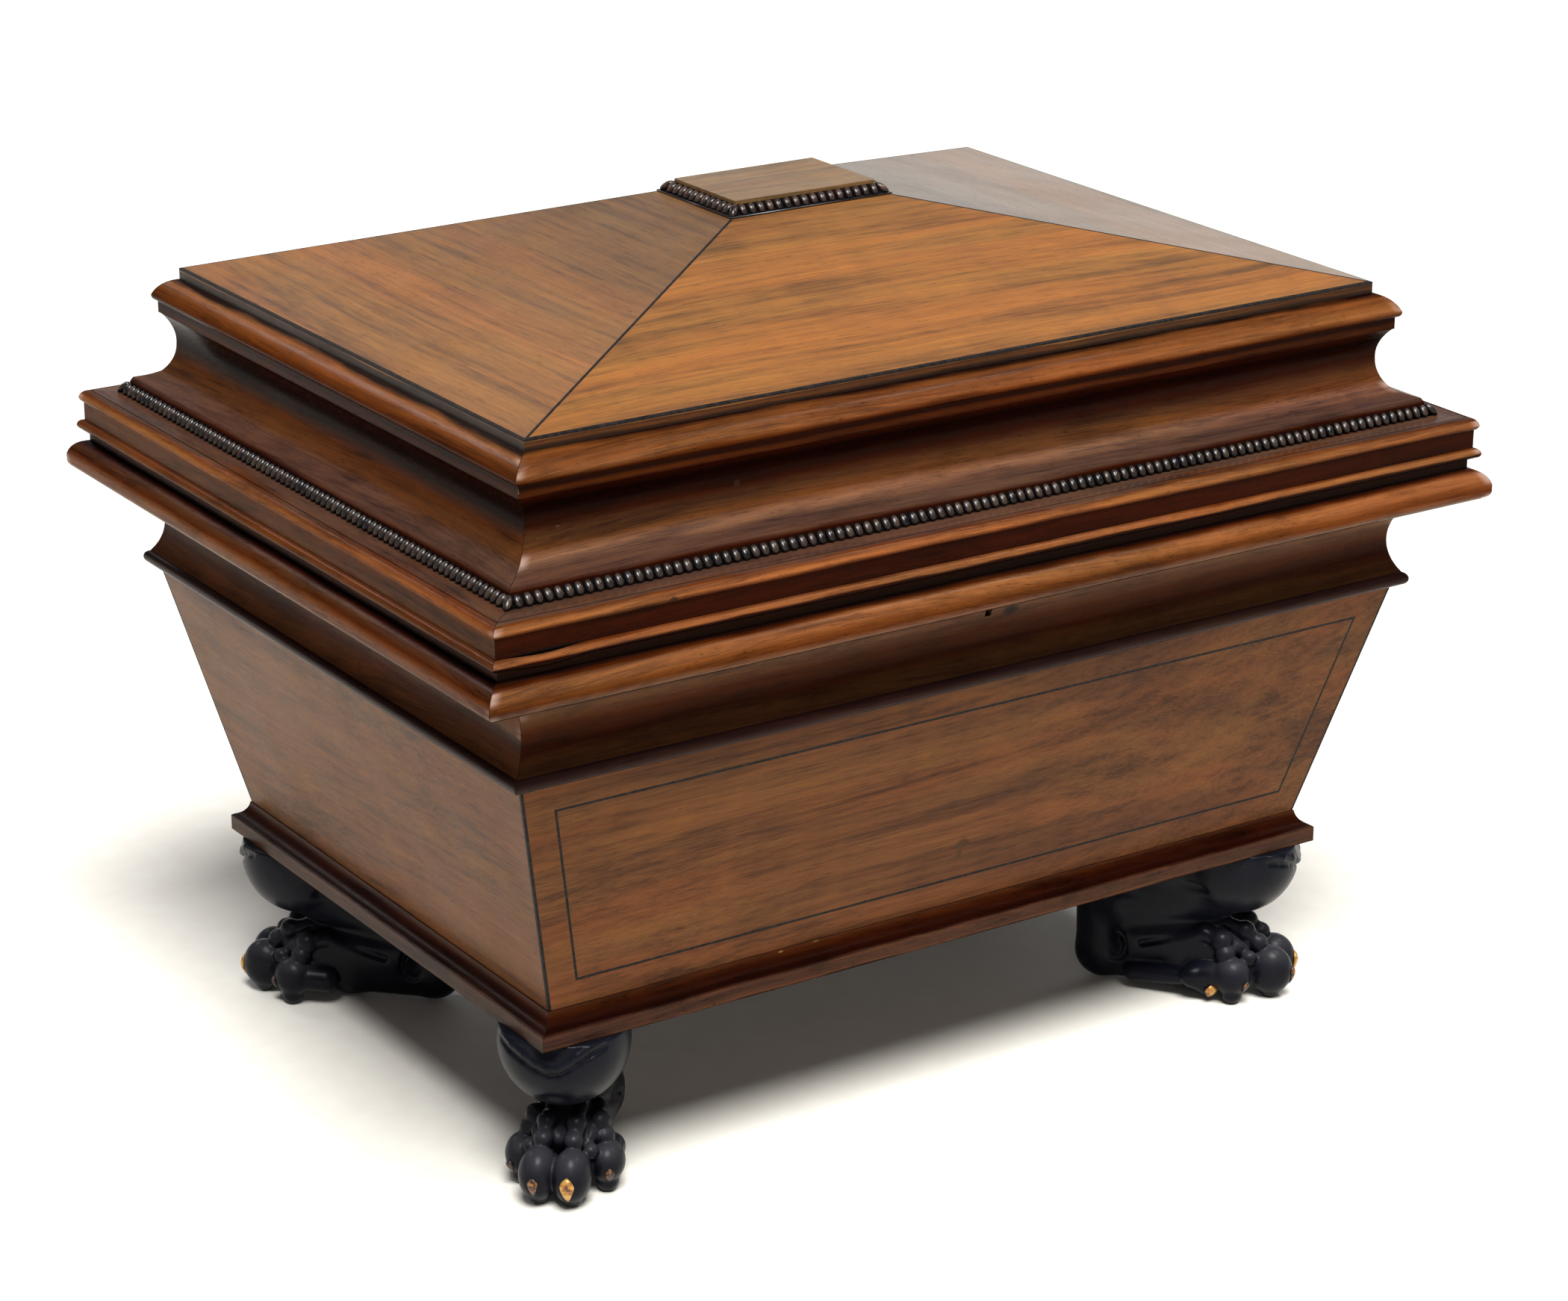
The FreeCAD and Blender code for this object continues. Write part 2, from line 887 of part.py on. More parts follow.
def keyhole(depths):
    """The tool that cuts a keyhole, a round with a slot below it."""
    low, high = depths
    start = V(lock_x, -roof.half_depth - high, key_height)
    round_hole = Part.makeCylinder(keyhole_radius, high - low, start, V(0, 1, 0))
    slot_range = (key_height - keyhole_slot_drop, key_height)
    slot = front_block(about(lock_x, keyhole_slot_width), depths, slot_range)
    return round_hole.fuse(slot)


def lock_case():
    top = rim_top - selvedge_thickness
    outer = front_block(
        about(lock_x, lock_width),
        (lock_out, lock_out + lock_depth - lock_wall),
        (top - lock_height, top),
    )
    cavity = front_block(
        about(lock_x, lock_width - 2 * lock_wall),
        (lock_out + lock_wall, lock_out + lock_depth),
        (top - lock_height + lock_wall, top),
    )
    selvedge = selvedge_block((top, rim_top))
    slots = prong_openings(lock_clearance, (top - overrun, rim_top + overrun))
    return cut_all(outer.cut(cavity).fuse(selvedge), slots)


def lock_cover():
    top = rim_top - selvedge_thickness
    end = lock_out + lock_depth
    cover = front_block(about(lock_x, lock_width), (end - lock_wall, end), (top - lock_height, top))
    return cover.cut(keyhole((end - lock_wall, end)))


def lock_mortise():
    top = rim_top - selvedge_thickness
    case = front_block(about(lock_x, lock_width), (lock_out, lock_out + lock_depth), (top - lock_height, top))
    return case.fuse(selvedge_block((top, rim_top)))


def lock_bolt():
    top = key_height + bolt_rise
    plate = front_block(
        about(lock_x, bolt_width),
        about(lock_centre_out, bolt_thickness),
        (top - bolt_height, top),
    )
    for prong in prong_openings(0, (top, rim_top - prong_set_down)):
        plate = plate.fuse(prong)
    talon = Part.makeCylinder(
        bolt_talon_radius,
        lock_depth,
        V(lock_x, -roof.half_depth - lock_out - lock_depth, top - bolt_height),
        V(0, 1, 0),
    )
    return plate.cut(talon).removeSplitter()


def drill_pin():
    start_out = lock_out + lock_wall
    length = lock_depth - 2 * lock_wall - lock_clearance
    start = V(lock_x, -roof.half_depth - start_out, key_height)
    return Part.makeCylinder(drill_pin_radius, length, start, V(0, -1, 0))


def strike_plate():
    plate = selvedge_block((lid_bottom, lid_bottom + strike_thickness))
    through = (lid_bottom - overrun, lid_bottom + strike_thickness + overrun)
    return cut_all(plate, prong_openings(lock_clearance, through))


def strike_recess():
    recess = selvedge_block((lid_bottom, lid_bottom + strike_thickness))
    pocket_range = (lid_bottom, lid_bottom + bolt_throw + strike_pocket_margin)
    return [recess] + prong_openings(strike_pocket_margin, pocket_range)


def plate_screws(level, direction):
    """Screws through both ends of the selvedge, or of the strike plate above it."""
    offset = (lock_width + selvedge_ear) / 2
    y = -roof.half_depth - lock_centre_out
    return [screw(V(lock_x + sign * offset, y, level), direction) for sign in (-1, 1)]


# ---------------------------------------------------------------- feet
def limb(start, start_radius, end, end_radius):
    """A round-ended, tapering limb between two centres."""
    run = end - start
    length = run.Length
    lean = (start_radius - end_radius) / length
    square = math.sqrt(1 - lean * lean)
    half_turn = math.sqrt((1 - lean) / 2), math.sqrt((1 + lean) / 2)
    # The half section lies along X, with the limb's axis on y = 0
    back = V(-start_radius, 0, 0)
    back_middle = V(-start_radius * half_turn[0], start_radius * half_turn[1], 0)
    back_tangent = V(start_radius * lean, start_radius * square, 0)
    front_tangent = V(length + end_radius * lean, end_radius * square, 0)
    front_middle = V(length + end_radius * half_turn[1], end_radius * half_turn[0], 0)
    front = V(length + end_radius, 0, 0)
    section = Part.Wire([
        Part.Arc(back, back_middle, back_tangent).toShape(),
        Part.makeLine(back_tangent, front_tangent),
        Part.Arc(front_tangent, front_middle, front).toShape(),
        Part.makeLine(front, back),
    ])
    solid = Part.Face(section).revolve(V(0, 0, 0), V(1, 0, 0), 360)
    solid.Placement = FreeCAD.Placement(start, FreeCAD.Rotation(V(1, 0, 0), run))
    return solid


def paw_foot():
    """A lion's folded hind leg and paw. It points along +X from the plinth's corner at the origin."""
    def at(set_back, across, height):
        return V(-set_back, across, height)

    heel = heel_set_back - heel_radius
    hock = heel_set_back - hock_radius
    toe_centre = toe_set_back + toe_radius
    outer_toe = toe_centre + outer_toe_back
    outer_height = outer_toe_radius + sole_flat
    heel_centre = at(heel, 0, heel_radius - sole_flat)
    forms = [
        limb(at(thigh_set_back, 0, foot_height - thigh_drop), thigh_radius,
             at(hock - hock_radius, 0, fold_height), fold_radius),
        limb(at(hock, 0, foot_height - hock_drop), hock_radius, heel_centre, heel_radius - heel_round),
        limb(heel_centre, heel_radius, at(shin_set_back, 0, shin_radius - sole_flat), shin_radius),
        Part.makeSphere(palm_radius, at(palm_set_back, 0, palm_radius - sole_flat)),
    ]
    for sign in (-1, 1):
        inner, outer = sign * toe_spread, sign * outer_toe_spread
        inner_toe_start = at(toe_centre, inner, toe_height)
        outer_toe_start = at(outer_toe, outer, outer_height)
        forms += [
            limb(inner_toe_start, toe_radius,
                 at(toe_centre + toe_length, inner, toe_height), toe_radius - toe_taper),
            limb(outer_toe_start, outer_toe_radius,
                 at(outer_toe + toe_length, inner, outer_height), outer_toe_radius - toe_taper),
            limb(at(toe_centre - toe_radius / 2, inner, toe_height - claw_root_radius), claw_root_radius,
                 at(toe_centre - toe_radius + 2 * claw_tip_radius, inner, toe_height - claw_drop),
                 claw_tip_radius),
            limb(at(outer_toe, outer + sign * outer_toe_radius / 2, outer_height), claw_root_radius,
                 at(outer_toe, outer + sign * (outer_toe_radius - claw_root_radius),
                    outer_height - claw_drop + claw_tip_radius), claw_tip_radius),
            Part.makeSphere(dewclaw_radius, at(dewclaw_set_back, outer, dewclaw_height)),
        ]
        for row in range(2):
            rise = toe_height + toe_radius + row * knuckle_row_rise
            back = toe_centre + (row + 1) * knuckle_row_back
            forms += [
                Part.makeSphere(knuckle_ball_radius, at(back, inner, rise)),
                Part.makeSphere(
                    knuckle_ball_radius,
                    at(back + knuckle_row_back, sign * outer_knuckle_spread, rise),
                ),
            ]
    room = block((-2 * heel_set_back, 0), (-heel_set_back, heel_set_back), (0, foot_height))
    return forms[0].multiFuse(forms[1:]).common(room)


def place_on_corner(shape, sign_x, sign_y):
    """Turns a shape that points along +X to face out of one corner of the plinth."""
    corner = V(sign_x * (roof.half_length + plinth_out), sign_y * (roof.half_depth + plinth_out), 0)
    angle = math.degrees(math.atan2(sign_y, sign_x))
    placed = shape.copy()
    turned = FreeCAD.Placement(corner, FreeCAD.Rotation(V(0, 0, 1), angle))
    placed.Placement = turned.multiply(shape.Placement)
    return placed


def foot_dowel():
    start = V(-dowel_set_back, 0, foot_height - dowel_down)
    return Part.makeCylinder(dowel_radius, dowel_down + dowel_up, start, V(0, 0, 1))


# ---------------------------------------------------------------- assembly
nodes = {}

for side in SIDES:
    nodes["panel_" + side] = panel(side)
    nodes["frieze_" + side] = frieze(side)
    nodes["rim_" + side] = rim(side)
    nodes["lid_base_" + side] = lid_base(side)
    nodes["lid_cavetto_" + side] = lid_cavetto(side)
    nodes["roof_" + side] = roof_board(side)

nodes["plinth_moulding"] = group(plinth_moulding())
nodes["waist_bead"] = group(waist_bead())
nodes["carcass_bottom"] = carcass_bottom()
nodes["lead_lining_floor"] = lining_floor()
nodes["lead_lining_walls"] = group(lining_walls())
nodes["bottle_dividers_long"] = group(long_dividers())
nodes["bottle_dividers_cross"] = group(cross_dividers())
nodes["lid_bead"] = group(lid_bead())
nodes["lid_gadroon"] = group(lid_gadroon())
nodes["cornice"] = group(cornice())
nodes["crown_block"] = crown_block()
nodes["crown_gadroon"] = group(crown_gadroon())
nodes["tablet"] = tablet_slab()
nodes["roof_glue_blocks"] = group(roof_blocks())

# Stringing is let into the boards that carry it
arrises = arris_strings()
panel_lines = front_panel_line()
for side in SIDES:
    nodes["panel_" + side] = cut_all(nodes["panel_" + side], arrises)
nodes["panel_front"] = cut_all(nodes["panel_front"], panel_lines)
nodes["arris_stringing"] = group(arrises)
nodes["front_panel_stringing"] = group(panel_lines)

hips = hip_strings()
roof_strings = hips + eaves_strings(hips)
for side in SIDES:
    nodes["roof_" + side] = cut_all(nodes["roof_" + side], roof_strings)
nodes["roof_stringing"] = group(roof_strings)

# Feet and their dowels
corners = {
    "front_left": (-1, -1),
    "front_right": (1, -1),
    "back_left": (-1, 1),
    "back_right": (1, 1),
}
bored_foot = only_solid(paw_foot().cut(foot_dowel()))
dowels = [place_on_corner(foot_dowel(), *signs) for signs in corners.values()]
for name, signs in corners.items():
    nodes["paw_foot_" + name] = place_on_corner(bored_foot, *signs)
nodes["carcass_bottom"] = cut_all(nodes["carcass_bottom"], dowels)
nodes["foot_dowels"] = group(dowels)

# Hinges
places = hinge_places()
lower_screws = leaf_screws(rim_top, V(0, 0, -1))
upper_screws = leaf_screws(lid_bottom, V(0, 0, 1))
lower_range = (rim_top - hinge_leaf_thickness, rim_top)
upper_range = (lid_bottom, lid_bottom + hinge_leaf_thickness)
lower_bodies = [body for body, _ in lower_screws]
upper_bodies = [body for body, _ in upper_screws]
nodes["hinge_lower_leaves"] = group([cut_all(lower_leaf(x), lower_bodies) for x in places])
nodes["hinge_upper_leaves"] = group([cut_all(upper_leaf(x), upper_bodies) for x in places])
nodes["hinge_pins"] = group([hinge_pin(x) for x in places])
nodes["hinge_lower_screws"] = group([body.cut(slot) for body, slot in lower_screws])
nodes["hinge_upper_screws"] = group([body.cut(slot) for body, slot in upper_screws])
lower_tools = [leaf_recess(x, lower_range) for x in places] + [knuckle_recess(x) for x in places]
upper_tools = [leaf_recess(x, upper_range) for x in places]
nodes["rim_back"] = cut_all(nodes["rim_back"], lower_tools + lower_bodies)
nodes["lid_base_back"] = cut_all(nodes["lid_base_back"], upper_tools + upper_bodies)

# Lock
lock_screws = plate_screws(rim_top, V(0, 0, -1))
strike_screws = plate_screws(lid_bottom, V(0, 0, 1))
lock_bodies = [body for body, _ in lock_screws]
strike_bodies = [body for body, _ in strike_screws]
nodes["lock_case"] = cut_all(lock_case(), lock_bodies)
nodes["lock_cover"] = only_solid(lock_cover())
nodes["lock_bolt"] = only_solid(lock_bolt())
nodes["lock_drill_pin"] = drill_pin()
nodes["lock_screws"] = group([body.cut(slot) for body, slot in lock_screws])
nodes["strike_plate"] = cut_all(strike_plate(), strike_bodies)
nodes["strike_screws"] = group([body.cut(slot) for body, slot in strike_screws])
mortise = [lock_mortise()] + lock_bodies
nodes["rim_front"] = cut_all(nodes["rim_front"], mortise)
nodes["frieze_front"] = cut_all(nodes["frieze_front"], mortise + [keyhole((lock_out, rim_nose_out))])
nodes["lid_base_front"] = cut_all(nodes["lid_base_front"], strike_recess() + strike_bodies)

os.makedirs("parts", exist_ok=True)
for name, shape in nodes.items():
    shape.exportStep("parts/" + name + ".step")
    print(name, len(shape.Solids), round(shape.Volume), shape.isValid())
print(len(nodes), "nodes")
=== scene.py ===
import math
import random

import bmesh
import bpy
import numpy as np
from mathutils import Matrix, Vector


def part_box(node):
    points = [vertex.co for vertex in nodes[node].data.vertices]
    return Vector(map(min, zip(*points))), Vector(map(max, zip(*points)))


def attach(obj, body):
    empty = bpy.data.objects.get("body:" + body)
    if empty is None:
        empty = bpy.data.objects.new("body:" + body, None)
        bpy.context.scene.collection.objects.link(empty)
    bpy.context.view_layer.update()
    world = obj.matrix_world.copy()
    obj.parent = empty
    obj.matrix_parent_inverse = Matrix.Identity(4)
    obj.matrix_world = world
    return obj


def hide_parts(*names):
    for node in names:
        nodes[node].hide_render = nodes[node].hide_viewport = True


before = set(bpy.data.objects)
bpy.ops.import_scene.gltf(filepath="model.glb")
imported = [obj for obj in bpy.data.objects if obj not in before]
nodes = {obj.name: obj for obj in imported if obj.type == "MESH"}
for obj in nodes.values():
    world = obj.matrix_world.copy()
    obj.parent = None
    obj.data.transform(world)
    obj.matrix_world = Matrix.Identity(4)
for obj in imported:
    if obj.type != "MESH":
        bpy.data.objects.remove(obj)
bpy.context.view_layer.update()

# A sarcophagus cellarette, dressed: mahogany veneers and mouldings, carved gadroon strips, ebonised
# lion's paw feet. Metres, +Z up, the long front faces -Y. Carved forms are given in millimetres.
MM = 0.001
SIDES = ("front", "back", "left", "right")
CORNERS = ((-1, -1), (1, -1), (1, 1), (-1, 1))

# Levels and rectangles, read from the frame
foot_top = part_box("carcass_bottom")[0].z
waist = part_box("panel_front")[1].z
rim_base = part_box("frieze_front")[1].z
lid_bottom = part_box("lid_base_front")[0].z
lid_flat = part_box("lid_base_front")[1].z
cornice_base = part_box("lid_cavetto_front")[1].z
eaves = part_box("cornice")[1].z
crown_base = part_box("roof_front")[1].z
tablet_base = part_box("tablet")[0].z
roof_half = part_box("roof_front")[1].x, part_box("roof_left")[1].y
crown_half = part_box("crown_gadroon")[1].x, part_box("crown_gadroon")[1].y
plinth_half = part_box("plinth_moulding")[1].x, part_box("plinth_moulding")[1].y
mitre_offset = roof_half[0] - roof_half[1]


# ---------------------------------------------------------------- camera, floor and light
def make_camera():
    """The view from the left of the front, a little from above, through a long lens."""
    azimuth, elevation, roll = math.radians(-33.7317), math.radians(20.3054), math.radians(0.311)
    back = Vector((
        math.sin(azimuth) * math.cos(elevation),
        -math.cos(azimuth) * math.cos(elevation),
        math.sin(elevation),
    ))
    right = Vector((0, 0, 1)).cross(back).normalized()
    level = Matrix((right, back.cross(right), back)).transposed()
    data = bpy.data.cameras.new("camera")
    data.sensor_width = 36.0
    data.lens = 94.25
    data.clip_end = 1000.0
    camera = bpy.data.objects.new("camera", data)
    turned = level @ Matrix.Rotation(roll, 3, "Z")
    camera.matrix_world = Matrix.Translation((-1.7113, -2.5799, 1.4421)) @ turned.to_4x4()
    bpy.context.scene.collection.objects.link(camera)
    bpy.context.scene.camera = camera


def make_light(name, kind, place, power, colour, size):
    """A light that faces the object. A sun's size is its angle in degrees, an area light's its width."""
    data = bpy.data.lights.new(name, kind)
    data.energy = power
    data.color = colour
    if kind == "SUN":
        data.angle = math.radians(size)
    else:
        data.shape = "DISK"
        data.size = size
    light = bpy.data.objects.new(name, data)
    light.location = place
    light.rotation_mode = "QUATERNION"
    light.rotation_quaternion = (Vector((0, 0, waist)) - Vector(place)).to_track_quat("-Z", "Y")
    bpy.context.scene.collection.objects.link(light)


def make_studio():
    """A pale floor under large soft lights, in a surround that is dim but for one bright screen."""
    scene = bpy.context.scene
    scene.view_settings.view_transform = "Standard"
    world = bpy.data.worlds.new("surround")
    world.use_nodes = True
    scene.world = world
    tree = world.node_tree
    background = tree.nodes["Background"]
    # The bright screen stands low behind on the right
    direction = tree.nodes.new("ShaderNodeTexCoord")
    towards = tree.nodes.new("ShaderNodeVectorMath")
    towards.operation = "DOT_PRODUCT"
    towards.inputs[1].default_value = Vector((0.62, 0.76, 0.2)).normalized()
    ramp = tree.nodes.new("ShaderNodeValToRGB")
    tree.links.new(direction.outputs["Generated"], towards.inputs[0])
    tree.links.new(towards.outputs["Value"], ramp.inputs[0])
    tree.links.new(ramp.outputs[0], background.inputs["Color"])
    ramp.color_ramp.elements[0].position = 0.72
    ramp.color_ramp.elements[0].color = (0.10, 0.10, 0.11, 1)
    ramp.color_ramp.elements[1].position = 0.95
    ramp.color_ramp.elements[1].color = (0.75, 0.77, 0.80, 1)
    background.inputs["Strength"].default_value = 1.0

    floor_half = 300.0
    corners = [(x * floor_half, y * floor_half, 0) for x, y in CORNERS]
    data = bpy.data.meshes.new("floor")
    data.from_pydata(corners, [], [(0, 1, 2, 3)])
    floor = bpy.data.objects.new("floor", data)
    scene.collection.objects.link(floor)
    paint = Shader("floor_paint")
    speckle = paint.noise((40, 40, 40), detail=3)
    paint.set("Base Color", paint.ramp(speckle, [(0.3, (0.87, 0.84, 0.77)), (0.7, (0.9, 0.88, 0.81))]))
    paint.set("Roughness", 0.75)
    data.materials.append(paint.material)

    make_light("key", "SUN", (-0.75, -1.7, 3.8), 4.7, (1.0, 0.99, 0.97), 26)
    make_light("front_fill", "AREA", (-1.6, -3.4, 2.0), 5, (1.0, 0.97, 0.93), 2.0)
    # These two draw the highlights along the front and the left mouldings
    make_light("right_strip", "AREA", (1.6, -0.95, 3.0), 26, (1.0, 0.99, 0.98), 0.6)
    make_light("left_strip", "AREA", (-1.0, 2.5, 2.2), 10, (0.96, 0.97, 1.0), 0.6)


# ---------------------------------------------------------------- material nodes
class Shader:
    """One procedural material and the nodes that make it."""

    def __init__(self, name):
        self.material = bpy.data.materials.new(name)
        self.material.use_nodes = True
        self.tree = self.material.node_tree
        self.tree.nodes.clear()
        self.surface = self.add("BsdfPrincipled")
        output = self.add("OutputMaterial")
        self.tree.links.new(self.surface.outputs[0], output.inputs["Surface"])
        self.position = self.add("TexCoord").outputs["Object"]

    def add(self, kind, inputs=(), **settings):
        node = self.tree.nodes.new("ShaderNode" + kind)
        for key, value in settings.items():
            setattr(node, key, value)
        for key, value in dict(inputs).items():
            self.plug(node.inputs[key], value)
        return node

    def plug(self, socket, value):
        if isinstance(value, bpy.types.NodeSocket):
            self.tree.links.new(value, socket)
        elif socket.type == "RGBA" and len(value) == 3:
            socket.default_value = (*value, 1.0)
        else:
            socket.default_value = value

    def set(self, name, value):
        self.plug(self.surface.inputs[name], value)

    def math(self, operation, first, second=0.0, third=0.0, clamp=False):
        inputs = {0: first, 1: second, 2: third}
        return self.add("Math", inputs, operation=operation, use_clamp=clamp).outputs[0]

    def times(self, first, second):
        return self.math("MULTIPLY", first, second)

    def spread(self, value, amount, about, clamp=False):
        """A noise about 0.5, made to vary by an amount about another middle."""
        return self.math("MULTIPLY_ADD", self.math("SUBTRACT", value, 0.5), amount, about, clamp)

    def scaled(self, scale, vector=None):
        vector = self.position if vector is None else vector
        return self.add("VectorMath", {0: vector, 1: scale}, operation="MULTIPLY").outputs[0]

    def shifted(self, vector, by):
        return self.add("VectorMath", {0: vector, 1: by}, operation="ADD").outputs[0]

    def split(self, vector=None):
        vector = self.position if vector is None else vector
        return self.add("SeparateXYZ", {0: vector}).outputs[:3]

    def joined(self, x, y, z):
        return self.add("CombineXYZ", {0: x, 1: y, 2: z}).outputs[0]

    def noise(self, scale, place=None, detail=2.0, roughness=0.5, distortion=0.0):
        inputs = {
            "Vector": self.scaled(scale, place), "Scale": 1.0, "Detail": detail, "Roughness": roughness,
            "Distortion": distortion,
        }
        return self.add("TexNoise", inputs).outputs[0]

    def step(self, value, low, high):
        """0 below low, 1 above high, smooth between; low may be the greater one."""
        inputs = {"Value": value, "From Min": low, "From Max": high}
        return self.add("MapRange", inputs, interpolation_type="SMOOTHSTEP").outputs[0]

    def ramp(self, value, stops):
        node = self.add("ValToRGB", {0: value})
        elements = node.color_ramp.elements
        while len(elements) < len(stops):
            elements.new(1.0)
        for element, (place, colour) in zip(elements, stops):
            element.position = place
            element.color = (*colour, 1.0)
        return node.outputs[0]

    def mix(self, share, first, second, blend="MIX"):
        node = self.add("Mix", data_type="RGBA", blend_type=blend)
        for socket, value in ((0, share), (6, first), (7, second)):
            self.plug(node.inputs[socket], value)
        return node.outputs[2]

    def blend(self, share, first, second):
        """A number that goes from first to second."""
        node = self.add("Mix", data_type="FLOAT")
        for socket, value in ((0, share), (2, first), (3, second)):
            self.plug(node.inputs[socket], value)
        return node.outputs[0]

    def bump(self, height, distance, strength=1.0, normal=None):
        inputs = {"Height": height, "Distance": distance, "Strength": strength}
        if normal is not None:
            inputs["Normal"] = normal
        return self.add("Bump", inputs).outputs[0]

    def openness(self, distance):
        """1 out in the open, 0 deep in a corner."""
        return self.add("AmbientOcclusion", {"Distance": distance}, samples=6).outputs["AO"]


def wood_frame(shader, grain):
    """Position with X along the grain, how near a mitre the point is, and whether it is on an end length.
    A mitred moulding's grain changes length where |x| - |y| passes the corner's offset."""
    x, y, z = shader.split()
    if grain == "x":
        return shader.joined(x, y, z), None, None
    if grain == "y":
        return shader.joined(y, x, z), None, None
    reach = shader.math("SUBTRACT", shader.math("ABSOLUTE", x), shader.math("ABSOLUTE", y))
    from_mitre = shader.math("SUBTRACT", reach, mitre_offset)
    is_end = shader.math("GREATER_THAN", from_mitre, 0.0)
    along = shader.blend(is_end, x, y)
    across = shader.blend(is_end, y, x)
    return shader.joined(along, across, z), shader.math("ABSOLUTE", from_mitre), is_end


def tint_by_level(wood, level, tone):
    """The tint at a level, out of a list of (level, tint) from the lowest up: stain and painted light."""
    low, high = tone[0][0], tone[-1][0]
    share = wood.math("DIVIDE", wood.math("SUBTRACT", level, low), high - low)
    return wood.ramp(share, [((at - low) / (high - low), tint) for at, tint in tone])


def bent(wood, place, curl, sweep):
    """The place in the wood, with a grain that wavers and that curves up to the right."""
    waver = wood.math("SUBTRACT", wood.noise((1.3, 2.5, 2.5), place, detail=1), 0.5)
    drift = wood.times(waver, curl * 4)
    if sweep:
        run = wood.math("ADD", wood.split()[0], roof_half[0])
        drift = wood.math("MULTIPLY_ADD", wood.times(run, run), -sweep, drift)
    return wood.shifted(place, wood.joined(0.0, drift, drift))


def grained(wood, place, middle, streaks, lines, pore):
    """The wood's own colour, streaked about a middle one, now redder and now greener."""
    dark = tuple(share * c for share, c in zip((0.40, 0.44, 0.65), middle))
    light = tuple(share * c for share, c in zip((1.45, 1.42, 1.2), middle))
    bands = wood.noise((2.2, 38, 38), place, detail=5, roughness=0.65)
    warmth = wood.noise((2.5, 30, 30), place, detail=3)
    mottle = wood.noise((30, 8, 8), place, detail=2, distortion=0.4)
    value = wood.spread(bands, 1.1, 0.5)
    value = wood.spread(streaks, 1.1, value)
    value = wood.spread(lines, 0.7, value)
    value = wood.spread(mottle, 0.3, value, clamp=True)
    colour = wood.ramp(value, [(0.12, dark), (0.5, middle), (0.9, light)])
    redder = wood.mix(1.0, colour, (1.03, 0.96, 0.94), "MULTIPLY")
    greener = wood.mix(1.0, colour, (0.97, 1.03, 1.00), "MULTIPLY")
    colour = wood.mix(wood.step(warmth, 0.35, 0.65), redder, greener)
    return wood.mix(wood.times(pore, 0.5), colour, tuple(0.4 * c for c in dark))


def banded(wood, place, colour, figure_and_shade):
    """Broad dark bands along the grain, the wood's figure, deepened towards the right as painted shade."""
    broad = wood.noise((1.6, 20, 20), place, detail=3)
    # Towards the right the bands deepen: painted shade where the light falls off.
    shade_to_right = wood.step(wood.split()[0], -roof_half[0], roof_half[0])
    band = wood.blend(wood.step(broad, 0.48, 0.64), 0.25, 1.0)
    band = wood.times(band, wood.blend(shade_to_right, 0.3 * figure_and_shade, figure_and_shade))
    return wood.mix(band, colour, wood.mix(1.0, colour, (0.55, 0.60, 0.80), "MULTIPLY"))


def blotched(wood, place, colour, smudge, wear_and_glint):
    """Smudges and dark flecks of long use."""
    fleck = wood.noise((140, 500, 500), place, detail=2)
    blotch = wood.spread(smudge, 2.4 * wear_and_glint, 1.0)
    blotch = wood.math("MULTIPLY_ADD", wood.step(fleck, 0.64, 0.74), -0.4 * wear_and_glint, blotch, clamp=True)
    return wood.scaled(wood.joined(blotch, blotch, blotch), colour)


def rubbed_and_lit_mitres(wood, colour, from_mitre, smudge, level_tint):
    """Mitres made pale where the tint isn't dark: partly rubbed wear, partly a painted highlight."""
    near = wood.step(from_mitre, 0.010, 0.0005)
    rubbed_and_lit = wood.times(near, wood.step(smudge, 0.35, 0.6))
    rubbed_and_lit = wood.times(rubbed_and_lit, wood.step(level_tint, 0.35, 0.75))
    return wood.mix(wood.times(rubbed_and_lit, 0.7), colour, (0.42, 0.28, 0.23))


def scored_line(wood, colour, line_out):
    """A line of dirt and painted shade round the lid's flat, a given distance outside the roof."""
    x, y, z = wood.split()
    past_end = wood.math("SUBTRACT", wood.math("ABSOLUTE", x), roof_half[0])
    past_front = wood.math("SUBTRACT", wood.math("ABSOLUTE", y), roof_half[1])
    out = wood.math("MAXIMUM", past_end, past_front)
    from_line = wood.math("ABSOLUTE", wood.math("SUBTRACT", out, line_out))
    on_flat = wood.step(z, lid_flat - MM, lid_flat)
    line = wood.times(wood.step(from_line, 0.0009, 0.0004), on_flat)
    return wood.mix(wood.times(line, 0.85), colour, (0.010, 0.006, 0.005))


def marked(wood, colour, streaks, centre, radii, mark):
    """A knot, scar or chip with a ragged edge; one of them is a painted shadow."""
    away = wood.shifted(wood.position, tuple(-c for c in centre))
    away = wood.scaled(tuple(1 / r for r in radii), away)
    away = wood.add("VectorMath", {0: away}, operation="LENGTH").outputs["Value"]
    ragged = wood.spread(streaks, 1.2, away)
    return wood.mix(wood.times(wood.step(ragged, 1.1, 0.6), 0.9), colour, mark)


